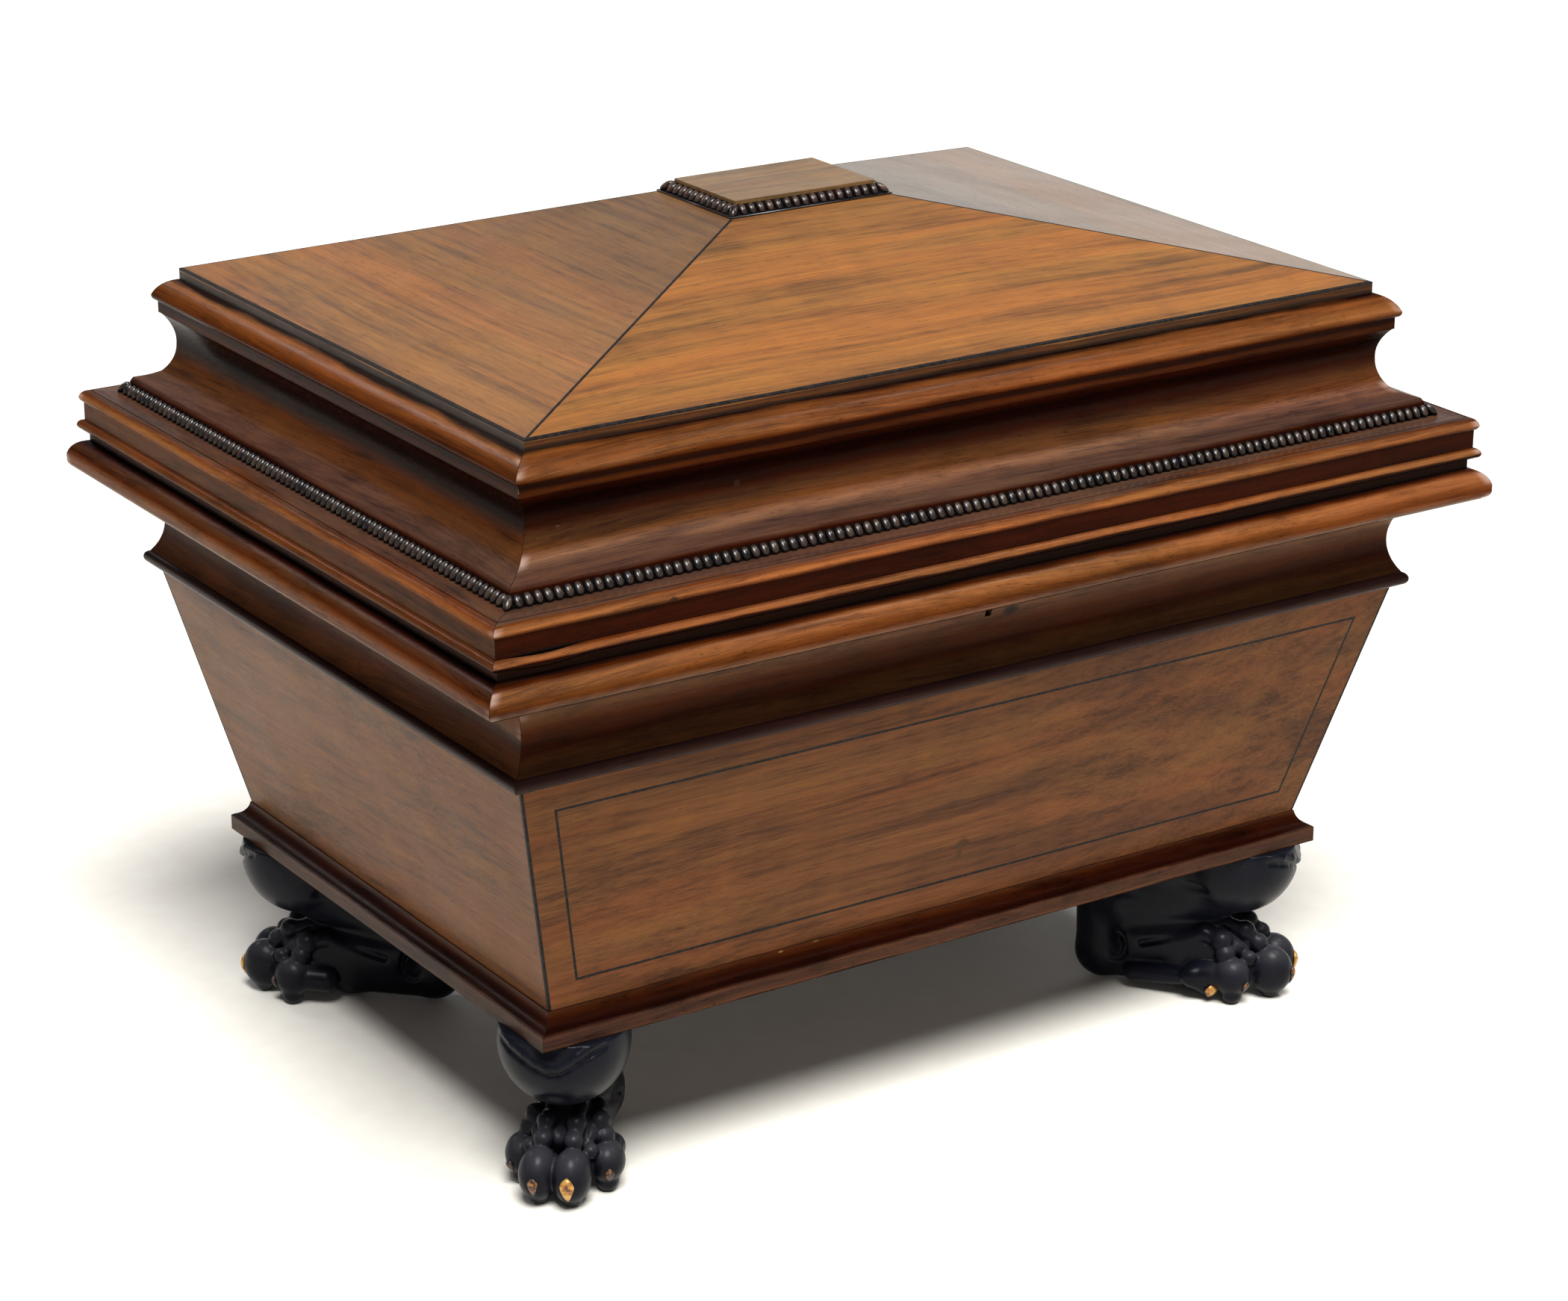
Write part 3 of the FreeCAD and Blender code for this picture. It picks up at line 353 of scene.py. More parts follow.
def mahogany(
    name, middle, grain, gloss, tone=(), end_tone=(), grime_and_shade=0.7, curl=0.02, wear_and_glint=0.0, scored=0.0, sweep=0.0,
    figure_and_shade=0.0, marks=(),
):
    """Polished mahogany about a middle colour. Gloss is (roughness, specular level, coat); tone is a list
    of (level, tint) from the lowest up, which tints a moulding's members with stain and with painted
    highlight, sheen and shade, and end_tone is the one of its end lengths, set for how they are lit. The
    wear setting is the strength of the blotches and of the pale mitres, which are partly wear and partly
    a painted highlight; scored is how far outside the roof a fine line of dirt and painted shade runs;
    sweep is how fast the grain curves up to the right; the figure setting is how strong the broad dark
    bands are, which deepen to the right as painted shade; the grime setting darkens corners and crevices,
    partly as grime and partly as painted shade; marks are (centre, radii, colour) of knots, scars, chips
    and a painted shadow."""
    roughness, specular, coat = gloss
    wood = Shader(name)
    place, from_mitre, is_end = wood_frame(wood, grain)
    place = bent(wood, place, curl, sweep)
    streaks = wood.noise((6, 170, 170), place, detail=4, roughness=0.65)
    lines = wood.noise((30, 900, 900), place, detail=2)
    pore = wood.step(wood.noise((90, 1700, 1700), place, detail=1), 0.62, 0.75)
    colour = grained(wood, place, middle, streaks, lines, pore)
    if figure_and_shade:
        colour = banded(wood, place, colour, figure_and_shade)
    if tone:
        level = wood.spread(wood.noise((9, 60, 60), place, detail=3), 5 * MM, wood.split()[2])
        level_tint = tint_by_level(wood, level, tone)
        if end_tone:
            level_tint = wood.mix(is_end, level_tint, tint_by_level(wood, level, end_tone))
        colour = wood.mix(1.0, colour, level_tint, "MULTIPLY")
    if wear_and_glint:
        smudge = wood.noise((15, 60, 60), place, detail=6, roughness=0.7)
        colour = blotched(wood, place, colour, smudge, wear_and_glint)
        if tone and from_mitre is not None:
            colour = rubbed_and_lit_mitres(wood, colour, from_mitre, smudge, level_tint)
    if scored:
        colour = scored_line(wood, colour, scored)
    for centre, radii, mark in marks:
        colour = marked(wood, colour, streaks, centre, radii, mark)

    # Corners and crevices darkened: partly grime, partly painted shade.
    grime_and_shade_mask = wood.times(wood.step(wood.openness(0.012), 0.75, 0.25), grime_and_shade)
    colour = wood.mix(grime_and_shade_mask, colour, (0.012, 0.008, 0.007))
    if from_mitre is not None:
        seam = wood.step(from_mitre, 0.0007, 0.0002)
        colour = wood.mix(wood.times(seam, 0.75), colour, (0.01, 0.007, 0.006))
    wood.set("Base Color", colour)

    shine = wood.spread(wood.noise((9, 14, 14), detail=3), 0.22, roughness)
    shine = wood.math("MULTIPLY_ADD", pore, 0.15, shine)
    wood.set("Roughness", wood.math("MULTIPLY_ADD", grime_and_shade_mask, 0.2, shine, clamp=True))
    normal = wood.bump(wood.noise((10, 10, 10), detail=1), 0.0015, 0.35)
    wood.set("Normal", wood.bump(wood.math("SUBTRACT", lines, pore), 0.00008, 0.5, normal))
    wood.set("Coat Weight", coat)
    wood.set("Coat Roughness", 0.14)
    wood.set("Specular IOR Level", specular)
    wood.set("Specular Tint", (1.0, 0.72, 0.5, 1.0))
    return wood.material


def ebony():
    wood = Shader("ebony_line")
    fine = wood.noise((300, 300, 300), detail=3)
    wood.set("Base Color", wood.ramp(fine, [(0.35, (0.006, 0.005, 0.005)), (0.7, (0.024, 0.019, 0.017))]))
    wood.set("Roughness", wood.blend(fine, 0.35, 0.55))
    wood.set("Normal", wood.bump(fine, 0.0001, 0.4))
    wood.set("Specular IOR Level", 0.08)
    return wood.material


def gadroon_paint(name, bare_and_lit):
    """Dark carving, lighter on its open crests: partly bare wood rubbed through, partly a painted highlight.
    """
    paint = Shader(name)
    patch = paint.noise((90, 90, 90), detail=3)
    # Open crests lighter: rubbed wear and a painted highlight.
    rubbed_and_lit = paint.step(paint.openness(0.004), 0.8, 1.0)
    share = paint.times(rubbed_and_lit, paint.step(patch, 0.25, 0.7))
    paint.set("Base Color", paint.mix(share, (0.004, 0.0035, 0.0045), bare_and_lit))
    paint.set("Roughness", paint.blend(patch, 0.22, 0.36))
    paint.set("Normal", paint.bump(patch, 0.0003, 0.3))
    paint.set("Specular IOR Level", 0.5)
    return paint.material


def paw_paint():
    """Blue-black ebonising with a soft sheen, chipped here and there, painted shade in hollows, dust and
    painted sheen on the toes.
    """
    paint = Shader("paw_paint")
    cloud = paint.noise((28, 28, 28), detail=4, roughness=0.6)
    fine = paint.noise((420, 420, 420), detail=3)
    base = paint.ramp(cloud, [(0.3, (0.0020, 0.0025, 0.0050)), (0.7, (0.0068, 0.0075, 0.0125))])
    # Painted shade in the foot's hollows.
    open_share = paint.openness(0.010)
    base = paint.mix(paint.step(open_share, 0.55, 0.15), base, (0.002, 0.002, 0.003))
    chip = paint.times(paint.step(fine, 0.66, 0.72), paint.step(cloud, 0.5, 0.65))
    base = paint.mix(paint.times(chip, 0.5), base, (0.09, 0.05, 0.03))
    # Tops of the toes lightened: dust and a painted sheen.
    facing_up = paint.split(paint.add("NewGeometry").outputs["Normal"])[2]
    forward, _, height = paint.split()
    dust_and_sheen = paint.times(paint.step(facing_up, 0.0, 0.8), paint.step(forward, -85 * MM, -60 * MM))
    dust_and_sheen = paint.times(dust_and_sheen, paint.step(height, 70 * MM, 50 * MM))
    base = paint.mix(paint.times(dust_and_sheen, 0.7), base, (0.036, 0.036, 0.042))
    paint.set("Base Color", base)
    paint.set("Roughness", paint.blend(cloud, 0.24, 0.42))
    paint.set("Normal", paint.bump(paint.blend(0.6, fine, cloud), 0.0006, 0.35))
    paint.set("Specular IOR Level", 0.10)
    return paint.material


def gilding():
    """Worn gilding over red clay; the claws of one side have kept more of it than the others."""
    paint = Shader("claw_gilding")
    patch = paint.noise((150, 150, 150), detail=4, roughness=0.65)
    forward, across, _ = paint.split()
    kept = paint.times(paint.step(across, 4 * MM, 10 * MM), paint.step(across, 24 * MM, 18 * MM))
    kept = paint.math("MAXIMUM", kept, paint.step(forward, -62 * MM, -68 * MM))
    level = paint.math("MULTIPLY_ADD", kept, 0.2, paint.math("SUBTRACT", patch, 0.1))
    base = paint.ramp(level, [
        (0.38, (0.008, 0.007, 0.008)), (0.46, (0.10, 0.035, 0.012)), (0.54, (0.36, 0.15, 0.03)),
        (0.66, (0.62, 0.36, 0.10)),
    ])
    paint.set("Base Color", base)
    paint.set("Metallic", paint.blend(paint.step(level, 0.45, 0.62), 0.0, 0.5))
    paint.set("Roughness", paint.blend(patch, 0.5, 0.32))
    paint.set("Normal", paint.bump(patch, 0.0004, 0.4))
    return paint.material


def softwood(name, lightness):
    """Bare pine; the lightness setting is the share of its pale colour that is kept."""
    wood = Shader(name)
    rings = wood.noise((3, 60, 60), detail=3, distortion=0.5)
    knots = wood.noise((9, 9, 9), detail=2)
    base = wood.ramp(rings, [(0.3, (0.16, 0.085, 0.035)), (0.7, (0.38, 0.25, 0.13))])
    base = wood.mix(wood.step(knots, 0.66, 0.74), base, (0.09, 0.04, 0.02))
    wood.set("Base Color", wood.scaled((lightness, lightness, lightness), base))
    wood.set("Roughness", wood.blend(rings, 0.75, 0.6))
    wood.set("Normal", wood.bump(rings, 0.0004, 0.4))
    return wood.material


def sheet_lead():
    metal = Shader("sheet_lead")
    cloud = metal.noise((12, 12, 12), detail=5, roughness=0.6)
    dent = metal.noise((35, 35, 35), detail=2)
    base = metal.ramp(cloud, [
        (0.3, (0.10, 0.105, 0.11)), (0.55, (0.22, 0.225, 0.235)), (0.75, (0.42, 0.42, 0.40)),
    ])
    metal.set("Base Color", base)
    metal.set("Metallic", metal.blend(cloud, 0.7, 0.25))
    metal.set("Roughness", metal.blend(cloud, 0.45, 0.7))
    metal.set("Normal", metal.bump(dent, 0.002, 0.35))
    return metal.material


def old_metal(name, bright, dull):
    metal = Shader(name)
    tarnish = metal.noise((90, 90, 90), detail=4, roughness=0.6)
    brushed = metal.noise((900, 60, 60), detail=2)
    metal.set("Base Color", metal.ramp(tarnish, [(0.38, dull), (0.6, bright)]))
    metal.set("Metallic", metal.blend(tarnish, 0.75, 1.0))
    metal.set("Roughness", metal.blend(brushed, 0.25, 0.45))
    metal.set("Normal", metal.bump(brushed, 0.00008, 0.5))
    return metal.material


# ---------------------------------------------------------------- meshes
class Build:
    """Vertices and faces of one piece, gathered shape by shape."""

    def __init__(self):
        self.points = []
        self.faces = []
        self.count = 0

    def add(self, points, faces):
        self.points.append(np.asarray(points, float).reshape(-1, 3))
        self.faces += [[self.count + i for i in face] for face in faces]
        self.count += len(self.points[-1])

    def mesh(self, name, material):
        data = bpy.data.meshes.new(name)
        data.from_pydata(np.concatenate(self.points).tolist(), [], self.faces)
        data.materials.append(material)
        data.shade_smooth()
        return data


def shown(name, data, body, replaced=(), place=None):
    """A new piece that rides on a body and stands for CAD nodes, which it hides."""
    made = bpy.data.objects.new(name, data)
    if place is not None:
        made.matrix_world = place
    bpy.context.scene.collection.objects.link(made)
    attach(made, body)
    if replaced:
        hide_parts(*replaced)
    return made


def spindle(spine, widths, heights, across, outward, sides):
    """Points and faces of a closed form with an oval section, pointed where its sizes end in nought."""
    spine = np.asarray(spine, float)
    across, outward = np.asarray(across, float), np.asarray(outward, float)
    turn = np.linspace(0, 2 * math.pi, sides, endpoint=False)
    rings = [
        middle + np.outer(np.cos(turn) * width, across) + np.outer(np.sin(turn) * height, outward)
        for middle, width, height in zip(spine[1:-1], widths[1:-1], heights[1:-1])
    ]
    points = np.concatenate([spine[:1], *rings, spine[-1:]])
    last = len(points) - 1
    faces = []
    for i in range(sides):
        j = (i + 1) % sides
        faces.append((0, 1 + j, 1 + i))
        for ring in range(len(rings) - 1):
            low, high = 1 + ring * sides, 1 + (ring + 1) * sides
            faces.append((low + i, low + j, high + j, high + i))
        tail = 1 + (len(rings) - 1) * sides
        faces.append((tail + i, tail + j, last))
    return points, faces


def mitred_ring(half, outline):
    """A closed moulding carried round a rectangle; the outline's points are (out, level)."""
    points = [
        (sx * (half[0] + out), sy * (half[1] + out), level) for out, level in outline for sx, sy in CORNERS
    ]
    faces = []
    for i in range(len(outline)):
        j = (i + 1) % len(outline)
        for k in range(4):
            m = (k + 1) % 4
            faces.append((4 * i + k, 4 * j + k, 4 * j + m, 4 * i + m))
    return points, faces


# ---------------------------------------------------------------- gadroon strips
LOBE_PITCH = 7.98 * MM
LOBE_RINGS = 11
LOBE_SIDES = 12


def lobe(build, middle, along, start, end, width, height, draw):
    """One egg of a gadroon strip, lying from its upper end to its lower end across the strip."""
    jitter = 1 + draw.uniform(-0.05, 0.05)
    share = 0.5 - 0.5 * np.cos(np.linspace(0, math.pi, LOBE_RINGS))
    swell = np.sin(math.pi * share) ** 0.4 * (1.04 - 0.16 * share)
    spine = middle + np.outer(1 - share, start) + np.outer(share, end)
    outward = np.cross(along, end - start)
    outward *= math.copysign(1, outward[2]) / np.linalg.norm(outward)
    build.add(*spindle(spine, width / 2 * swell * jitter, height * swell, along, outward, LOBE_SIDES))


def gadroon_strip(build, half, upper, lower, draw):
    """Lobes round a rectangle, each between an upper and a lower (out, level), with one on each mitre."""
    width, height, unevenness = 7.5 * MM, 3.1 * MM, 0.12
    x_axis, y_axis, z_axis = np.eye(3)
    for across, side_length, along, outward in (
        (half[1], half[0], x_axis, y_axis), (half[0], half[1], y_axis, x_axis),
    ):
        reach = side_length + (upper[0] + lower[0]) / 2
        count = round(2 * reach / LOBE_PITCH)
        for sign in (-1, 1):
            ends = [sign * (across + out) * outward + level * z_axis for out, level in (upper, lower)]
            for i in range(1, count):
                place = -reach + 2 * reach * i / count + draw.uniform(-unevenness, unevenness) * MM
                lobe(build, place * along, along, *ends, width, height, draw)
    for sx in (-1, 1):
        for sy in (-1, 1):
            ends = [
                np.array((sx * (half[0] + out), sy * (half[1] + out), level)) for out, level in (upper, lower)
            ]
            along = np.array((-sy, sx, 0.0)) / math.sqrt(2)
            lobe(build, np.zeros(3), along, *ends, width * 0.9, height, draw)


def sprung_bead():
    """The front bead has sprung from its ground near the left corner and sags there."""
    start, end, sag, cuts = -0.440, -0.364, 2.6 * MM, 11
    source = nodes["lid_bead"]
    form = bmesh.new()
    form.from_mesh(source.data)
    for x in np.linspace(start, end, cuts):
        faces = [face for face in form.faces if face.calc_center_median().y < -roof_half[1]]
        edges = {edge for face in faces for edge in face.edges}
        points = {point for face in faces for point in face.verts}
        geometry = [*points, *edges, *faces]
        bmesh.ops.bisect_plane(form, geom=geometry, plane_co=(x, 0, 0), plane_no=(1, 0, 0))
    for point in form.verts:
        if point.co.y < -roof_half[1] and start < point.co.x < end:
            point.co.z -= sag * math.sin(math.pi * (point.co.x - start) / (end - start)) ** 2
    data = bpy.data.meshes.new("sprung_bead")
    form.to_mesh(data)
    form.free()
    data.materials.append(source.data.materials[0])
    place = source.matrix_world.copy()
    soften(shown("lid_bead_sprung", data, "lid", ["lid_bead"], place), ARRIS)


def lid_gadroon(material):
    lowest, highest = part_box("lid_gadroon")
    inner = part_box("lid_cavetto_front")[1].x - roof_half[0]
    outer = highest.x - roof_half[0]
    base, top = lowest.z, highest.z
    sunk, inset, foot = 1.9 * MM, 0.2 * MM, 0.4 * MM
    build = Build()
    build.add(*mitred_ring(roof_half, [(inner, base), (outer - sunk, base), (inner, top - sunk)]))
    gadroon_strip(build, roof_half, (inner + inset, top), (outer - inset, base + foot), random.Random(3))
    data = build.mesh("lid_gadroon_carved", material)
    shown("lid_gadroon_carved", data, "lid", ["lid_gadroon"])


def crown_gadroon(material):
    ring_width, fillet, inset, lean = 18.0 * MM, 1.4 * MM, 2.0 * MM, 7.6 * MM
    sunk = 1.2 * MM
    outline = [
        (-ring_width, tablet_base),
        (-inset - lean - sunk, tablet_base),
        (-inset - sunk, crown_base + fillet),
        (0.0, crown_base + fillet),
        (0.0, crown_base),
        (-ring_width, crown_base),
    ]
    build = Build()
    build.add(*mitred_ring(crown_half, outline[::-1]))
    upper, lower = (-inset - lean, tablet_base), (-inset, crown_base + fillet)
    gadroon_strip(build, crown_half, upper, lower, random.Random(4))
    data = build.mesh("crown_gadroon_carved", material)
    shown("crown_gadroon_carved", data, "lid", ["crown_gadroon"])


# ---------------------------------------------------------------- paw feet
class Clay:
    """A grid of signed distances in millimetres, in which forms are joined, carved and skinned."""

    def __init__(self, low, high, step):
        self.low, self.step = np.array(low, float), step
        self.axes = [np.arange(a, b + step, step, dtype=np.float32) for a, b in zip(low, high)]
        self.values = np.full([len(axis) for axis in self.axes], 1e3, np.float32)

    def window(self, low, high):
        """The part of the grid between two corners, and its points."""
        slices = tuple(
            slice(int(np.searchsorted(axis, a)), int(np.searchsorted(axis, b)))
            for axis, a, b in zip(self.axes, low, high)
        )
        grids = np.meshgrid(*[axis[s] for axis, s in zip(self.axes, slices)], indexing="ij")
        return slices, np.stack(grids, -1)

    def join(self, shape, blend, sign=1):
        """Joins a form on with a soft seam; a sign of -1 cuts it out instead."""
        low, high, distance = shape
        slices, points = self.window(low - blend - 4, high + blend + 4)
        near, old = sign * distance(points), self.values[slices]
        share = np.clip(0.5 + sign * 0.5 * (old - near) / blend, 0, 1)
        self.values[slices] = old + (near - old) * share - sign * blend * share * (1 - share)

    def carve(self, shape, blend):
        self.join(shape, blend, -1)

    def trim(self, axis, level, sign):
        """Cuts everything off past a level; sign is the side that is lost."""
        shape = [1, 1, 1]
        shape[axis] = -1
        past = sign * (self.axes[axis] - level).reshape(shape)
        self.values = np.maximum(self.values, past)

    def skin(self):
        """Vertices and quads over the zero level, one vertex in each cell that the surface crosses."""
        values = self.values
        inside = values < 0
        cells = [n - 1 for n in values.shape]
        corners = [(i, j, k) for i in (0, 1) for j in (0, 1) for k in (0, 1)]
        total = np.zeros(cells, np.int8)
        for i, j, k in corners:
            total += inside[i:i + cells[0], j:j + cells[1], k:k + cells[2]]
        where = np.argwhere((total > 0) & (total < 8))
        index = np.full(cells, -1, np.int64)
        index[tuple(where.T)] = np.arange(len(where))
        at = {c: values[tuple((where + c).T)] for c in corners}
        summed, hits = np.zeros((len(where), 3)), np.zeros((len(where), 1))
        for first in corners:
            for axis in range(3):
                if first[axis]:
                    continue
                second = tuple(1 if n == axis else c for n, c in enumerate(first))
                a, b = at[first], at[second]
                crossed = (a < 0) != (b < 0)
                share = np.where(crossed, a / np.where(crossed, a - b, 1), 0)
                point = np.tile(np.array(first, float), (len(where), 1))
                point[:, axis] = share
                summed[crossed] += point[crossed]
                hits[crossed] += 1
        points = self.low + (where + summed / hits) * self.step
        faces = []
        for axis in range(3):
            ahead = np.roll(inside, -1, axis)
            crossed = inside != ahead
            crossed[tuple(slice(-1, None) if n == axis else slice(None) for n in range(3))] = False
            edges = np.argwhere(crossed)
            u, v = [n for n in range(3) if n != axis]
            edges = edges[(edges[:, u] > 0) & (edges[:, v] > 0)]
            edges = edges[(edges[:, u] < cells[u]) & (edges[:, v] < cells[v])]
            ring = []
            for du, dv in ((0, 0), (-1, 0), (-1, -1), (0, -1)):
                cell = edges.copy()
                cell[:, u] += du
                cell[:, v] += dv
                ring.append(index[tuple(cell.T)])
            quads = np.stack(ring, 1)
            flip = inside[tuple(edges.T)] == (axis == 1)
            quads[flip] = quads[flip][:, ::-1]
            faces.append(quads)
        return points, np.concatenate(faces)


def limb(start, start_radius, end, end_radius, slim=1.0):
    """A round-ended limb that tapers between two centres; slim above 1 narrows it sideways."""
    squeeze = np.array((1.0, slim, 1.0))
    start, end = np.array(start, float), np.array(end, float)
    reach = max(start_radius, end_radius)
    low, high = np.minimum(start, end) - reach, np.maximum(start, end) + reach
    start, run = start * squeeze, (end - start) * squeeze

    def distance(points):
        points = points * squeeze
        share = np.clip((points - start) @ run / (run @ run), 0, 1)
        radius = start_radius + (end_radius - start_radius) * share
        return np.linalg.norm(points - start - share[..., None] * run, axis=-1) - radius
    return low, high, distance


def egg(centre, radii):
    centre, radii = np.array(centre, float), np.array(radii, float)

    def distance(points):
        scaled = (points - centre) / radii
        length = np.maximum(np.linalg.norm(scaled, axis=-1), 1e-6)
        return length * (length - 1) / np.maximum(np.linalg.norm(scaled / radii, axis=-1), 1e-6)
    return centre - radii, centre + radii, distance


# Places in the foot are (set-back along the diagonal from the plinth's corner, across, height) in mm
FOOT_HEIGHT = foot_top / MM
THIGH = np.array((61.0, 0.0, 123.0))
THIGH_RADII = np.array((50.5, 50.0, 52.0))
INNER_TOE, INNER_RADII = (29.0, 12.6, 24.0), (18.5, 15.2, 21.0)
OUTER_TOE, OUTER_RADII = (59.0, 32.5, 24.0), (16.0, 13.4, 16.0)
DEWCLAW, DEWCLAW_RADII = (91.0, 33.0, 21.0), (10.0, 8.5, 10.0)
# Knuckles of each toe, from the toe up: (centre, radius)
INNER_KNUCKLES = (((40, 11.5, 46.5), 8.2), ((51, 11, 56), 8.8), ((68, 9, 59), 8.4))
OUTER_KNUCKLES = (((65, 28.5, 41), 8.8), ((69, 24, 51), 9.6), ((84, 19, 54), 8.4))
# The skin that hangs in a U over the front of the thigh: (across, height)
SKIN_ROLL = (
    (-37, 135), (-29, 131.5), (-18.5, 127), (-9, 122), (0, 118.6),
    (7, 119), (14, 123), (21, 128.5), (28, 133), (36, 137),
)
# Claws: (ball, its radii, side, how far it faces sideways, (top, bottom) in degrees, size)
CLAWS = (
    ((79.0, 31.0, 15.0), (15.0, 8.0, 12.0), -1, 1.6, (10, -62), 1.25),
    (OUTER_TOE, OUTER_RADII, -1, 0.5, (0, -50), 0.8),
    (INNER_TOE, INNER_RADII, -1, 0.0, (14, -34), 0.9),
    (INNER_TOE, INNER_RADII, 1, 0.04, (20, -42), 1.25),
    (OUTER_TOE, OUTER_RADII, 1, 0.35, (5, -50), 0.8),
)


def on_thigh(across, height, sunk):
    """A point the given depth under the front of the thigh."""
    share = 1 - (across / THIGH_RADII[1]) ** 2 - ((height - THIGH[2]) / THIGH_RADII[2]) ** 2
    return THIGH[0] - THIGH_RADII[0] * math.sqrt(share) + sunk, across, height


def carve_leg(clay):
    """The thigh, the shin folded back under it, the hock and the foot that comes forward again."""
    for form in (
        egg(THIGH, THIGH_RADII),
        limb((95, 0, 112), 42, (160, 0, 112), 30, 1.15),
        limb((80, 0, 92), 30, (150, 0, 72), 27, 1.1),
        limb((168, 0, 118), 25.5, (170, 0, 24), 21, 1.35),
        limb((168, 0, 24), 22, (98, 0, 26), 24, 1.2),
        limb((140, 0, 44), 26, (78, 0, 40), 26, 1.0),
        limb((98, 0, 26), 25, (68, 0, 31), 24),
        egg((62, 0, 44), (21, 27, 13)),
    ):
        clay.join(form, 7)
    for sign in (-1, 1):
        # The crease between the shin and the foot, and the slack skin above it
        clay.carve(limb((134, sign * 26, 43), 3.4, (100, sign * 29, 53.5), 3.8), 1.5)
        clay.carve(limb((100, sign * 29, 53.5), 3.8, (71, sign * 34, 66), 6.5), 1.5)
        clay.carve(limb((71, sign * 34, 66), 6.5, (46, sign * 38, 74), 9.5), 2.5)
        clay.carve(limb((146, sign * 27, 62), 1.8, (88, sign * 32, 81), 1.6), 4)
        clay.carve(limb((150, sign * 27, 76), 1.6, (100, sign * 36, 91), 1.4), 4)
        clay.carve(egg((98, sign * 39, 101), (17, 6.5, 6)), 4)
        # Tendons at the hock: an oval loop in a hollow
        loop = [
            (156 + 8.5 * math.sin(a), sign * (21 + 1.5 * math.cos(a)), 37 + 13 * math.cos(a))
            for a in np.linspace(0, 2 * math.pi, 13)
        ]
        for first, second in zip(loop, loop[1:]):
            clay.carve(limb(first, 2.3, second, 2.3), 1.5)
    # The dewclaw on the inner side, a long tapered bone that ends in a ball
    clay.join(limb((140, -19, 15), 9, (100, -28, 18), 7.5), 3)
    clay.carve(limb((134, -31, 27), 2.2, (99, -37, 31), 3.0), 2)
    s, w, h = DEWCLAW
    clay.join(egg((s, -w, h), DEWCLAW_RADII), 1.2)
    clay.join(limb((s - 4, -w, h - 4), 7, (s - 14, 2 - w, 9), 5.5), 2)


def carve_toes(clay):
    for sign in (-1, 1):
        for toe, radii, knuckles in (
            (INNER_TOE, INNER_RADII, INNER_KNUCKLES), (OUTER_TOE, OUTER_RADII, OUTER_KNUCKLES),
        ):
            s, w, h = toe
            centre = (s, sign * w, h)
            thick = radii[1]
            clay.join(limb(centre, thick - 3, (s + 26, sign * w * 0.88, h - 2), thick - 2), 2)
            clay.join(limb((s, sign * w, h - 6), thick - 3, (s - 1, sign * w, 9), 9), 3)
            places = [(a, sign * b, c) for (a, b, c), _ in knuckles]
            clay.join(limb(places[1], 6.4, places[0], 6.2), 1.5)
            clay.join(limb(places[1], 6.8, places[2], 7.2), 2)
            a, b, c = places[2]
            clay.join(limb(places[2], 7.2, (a + 26, b * 0.8, c - 10), 9), 3)
            for place, (_, size) in zip(places, knuckles):
                clay.join(egg(place, (size, size - 0.5, size)), 0.8)
            clay.join(egg(centre, radii), 1.2)
        # Pinched skin between two toes, and the webs between their knuckles
        clay.join(egg((46, sign * 23, 37), (6.8, 6, 6.6)), 2.0)
        clay.carve(limb((46, sign * 19.5, 45), 1.6, (70, sign * 16.5, 61), 1.2), 2)
    clay.carve(limb((34, 0, 44), 1.4, (62, 0, 63), 1.4), 2)


def foot_clay(step):
    """A lion's folded hind leg and its paw."""
    clay = Clay((-3, -58, -3), (202, 58, FOOT_HEIGHT + 3), step)
    carve_leg(clay)
    clay.carve(egg((6, 3, 141), (9, 26, 18)), 2)
    roll = [on_thigh(w, h, 1.6) for w, h in SKIN_ROLL]
    groove = [on_thigh(w * 1.08, h - 5.5, 0.2) for w, h in SKIN_ROLL]
    for first, second in zip(groove, groove[1:]):
        clay.carve(limb(first, 1.2, second, 1.2), 3)
    for first, second in zip(roll, roll[1:]):
        clay.join(limb(first, 3.0, second, 3.0), 1.5)
    clay.carve(egg((20, 2, 84), (9, 14, 9)), 3)
    carve_toes(clay)
    clay.trim(2, FOOT_HEIGHT, 1)
    clay.trim(2, 0.0, -1)
    return clay


def foot_mesh(material):
    step = 1.4
    points, quads = foot_clay(step).skin()
    build = Build()
    # Along the diagonal out of the corner is the mesh's +X
    build.add(points * (-MM, MM, MM), quads[:, ::-1].tolist())
    return build.mesh("paw_foot", material)


def claw_mesh(material):
    """Kite-shaped claws that lie on the fronts of the toes and the dewclaw and point down."""
    rings, sides, widest, half_width, thickness = 11, 12, 0.35, 4.6, 2.2
    build = Build()
    share = np.linspace(0, 1, rings)
    for (s, w, h), radii, sign, lean, (top, bottom), size in CLAWS:
        centre = np.array((-s, sign * w, h))
        facing = np.array((1.0, sign * lean, 0.0))
        facing /= np.linalg.norm(facing)
        out = 0.5 + 1 / math.hypot(facing[0] / radii[0], facing[1] / radii[1])
        angles = np.radians(top + (bottom - top) * share)
        rise = radii[2] + 0.5
        spine = [centre + facing * math.cos(a) * out + np.array((0, 0, math.sin(a) * rise)) for a in angles]
        rounded = np.sin(np.minimum(share, widest) / 0.7 * math.pi) ** 0.8
        swell = np.where(share < widest, rounded, ((1 - share) / 0.65) ** 0.85)
        across = np.cross((0, 0, 1), facing)
        widths, heights = half_width * size * swell * MM, thickness * swell * MM
        build.add(*spindle(np.array(spine) * MM, widths, heights, across, facing, sides))
    return build.mesh("paw_claws", material)


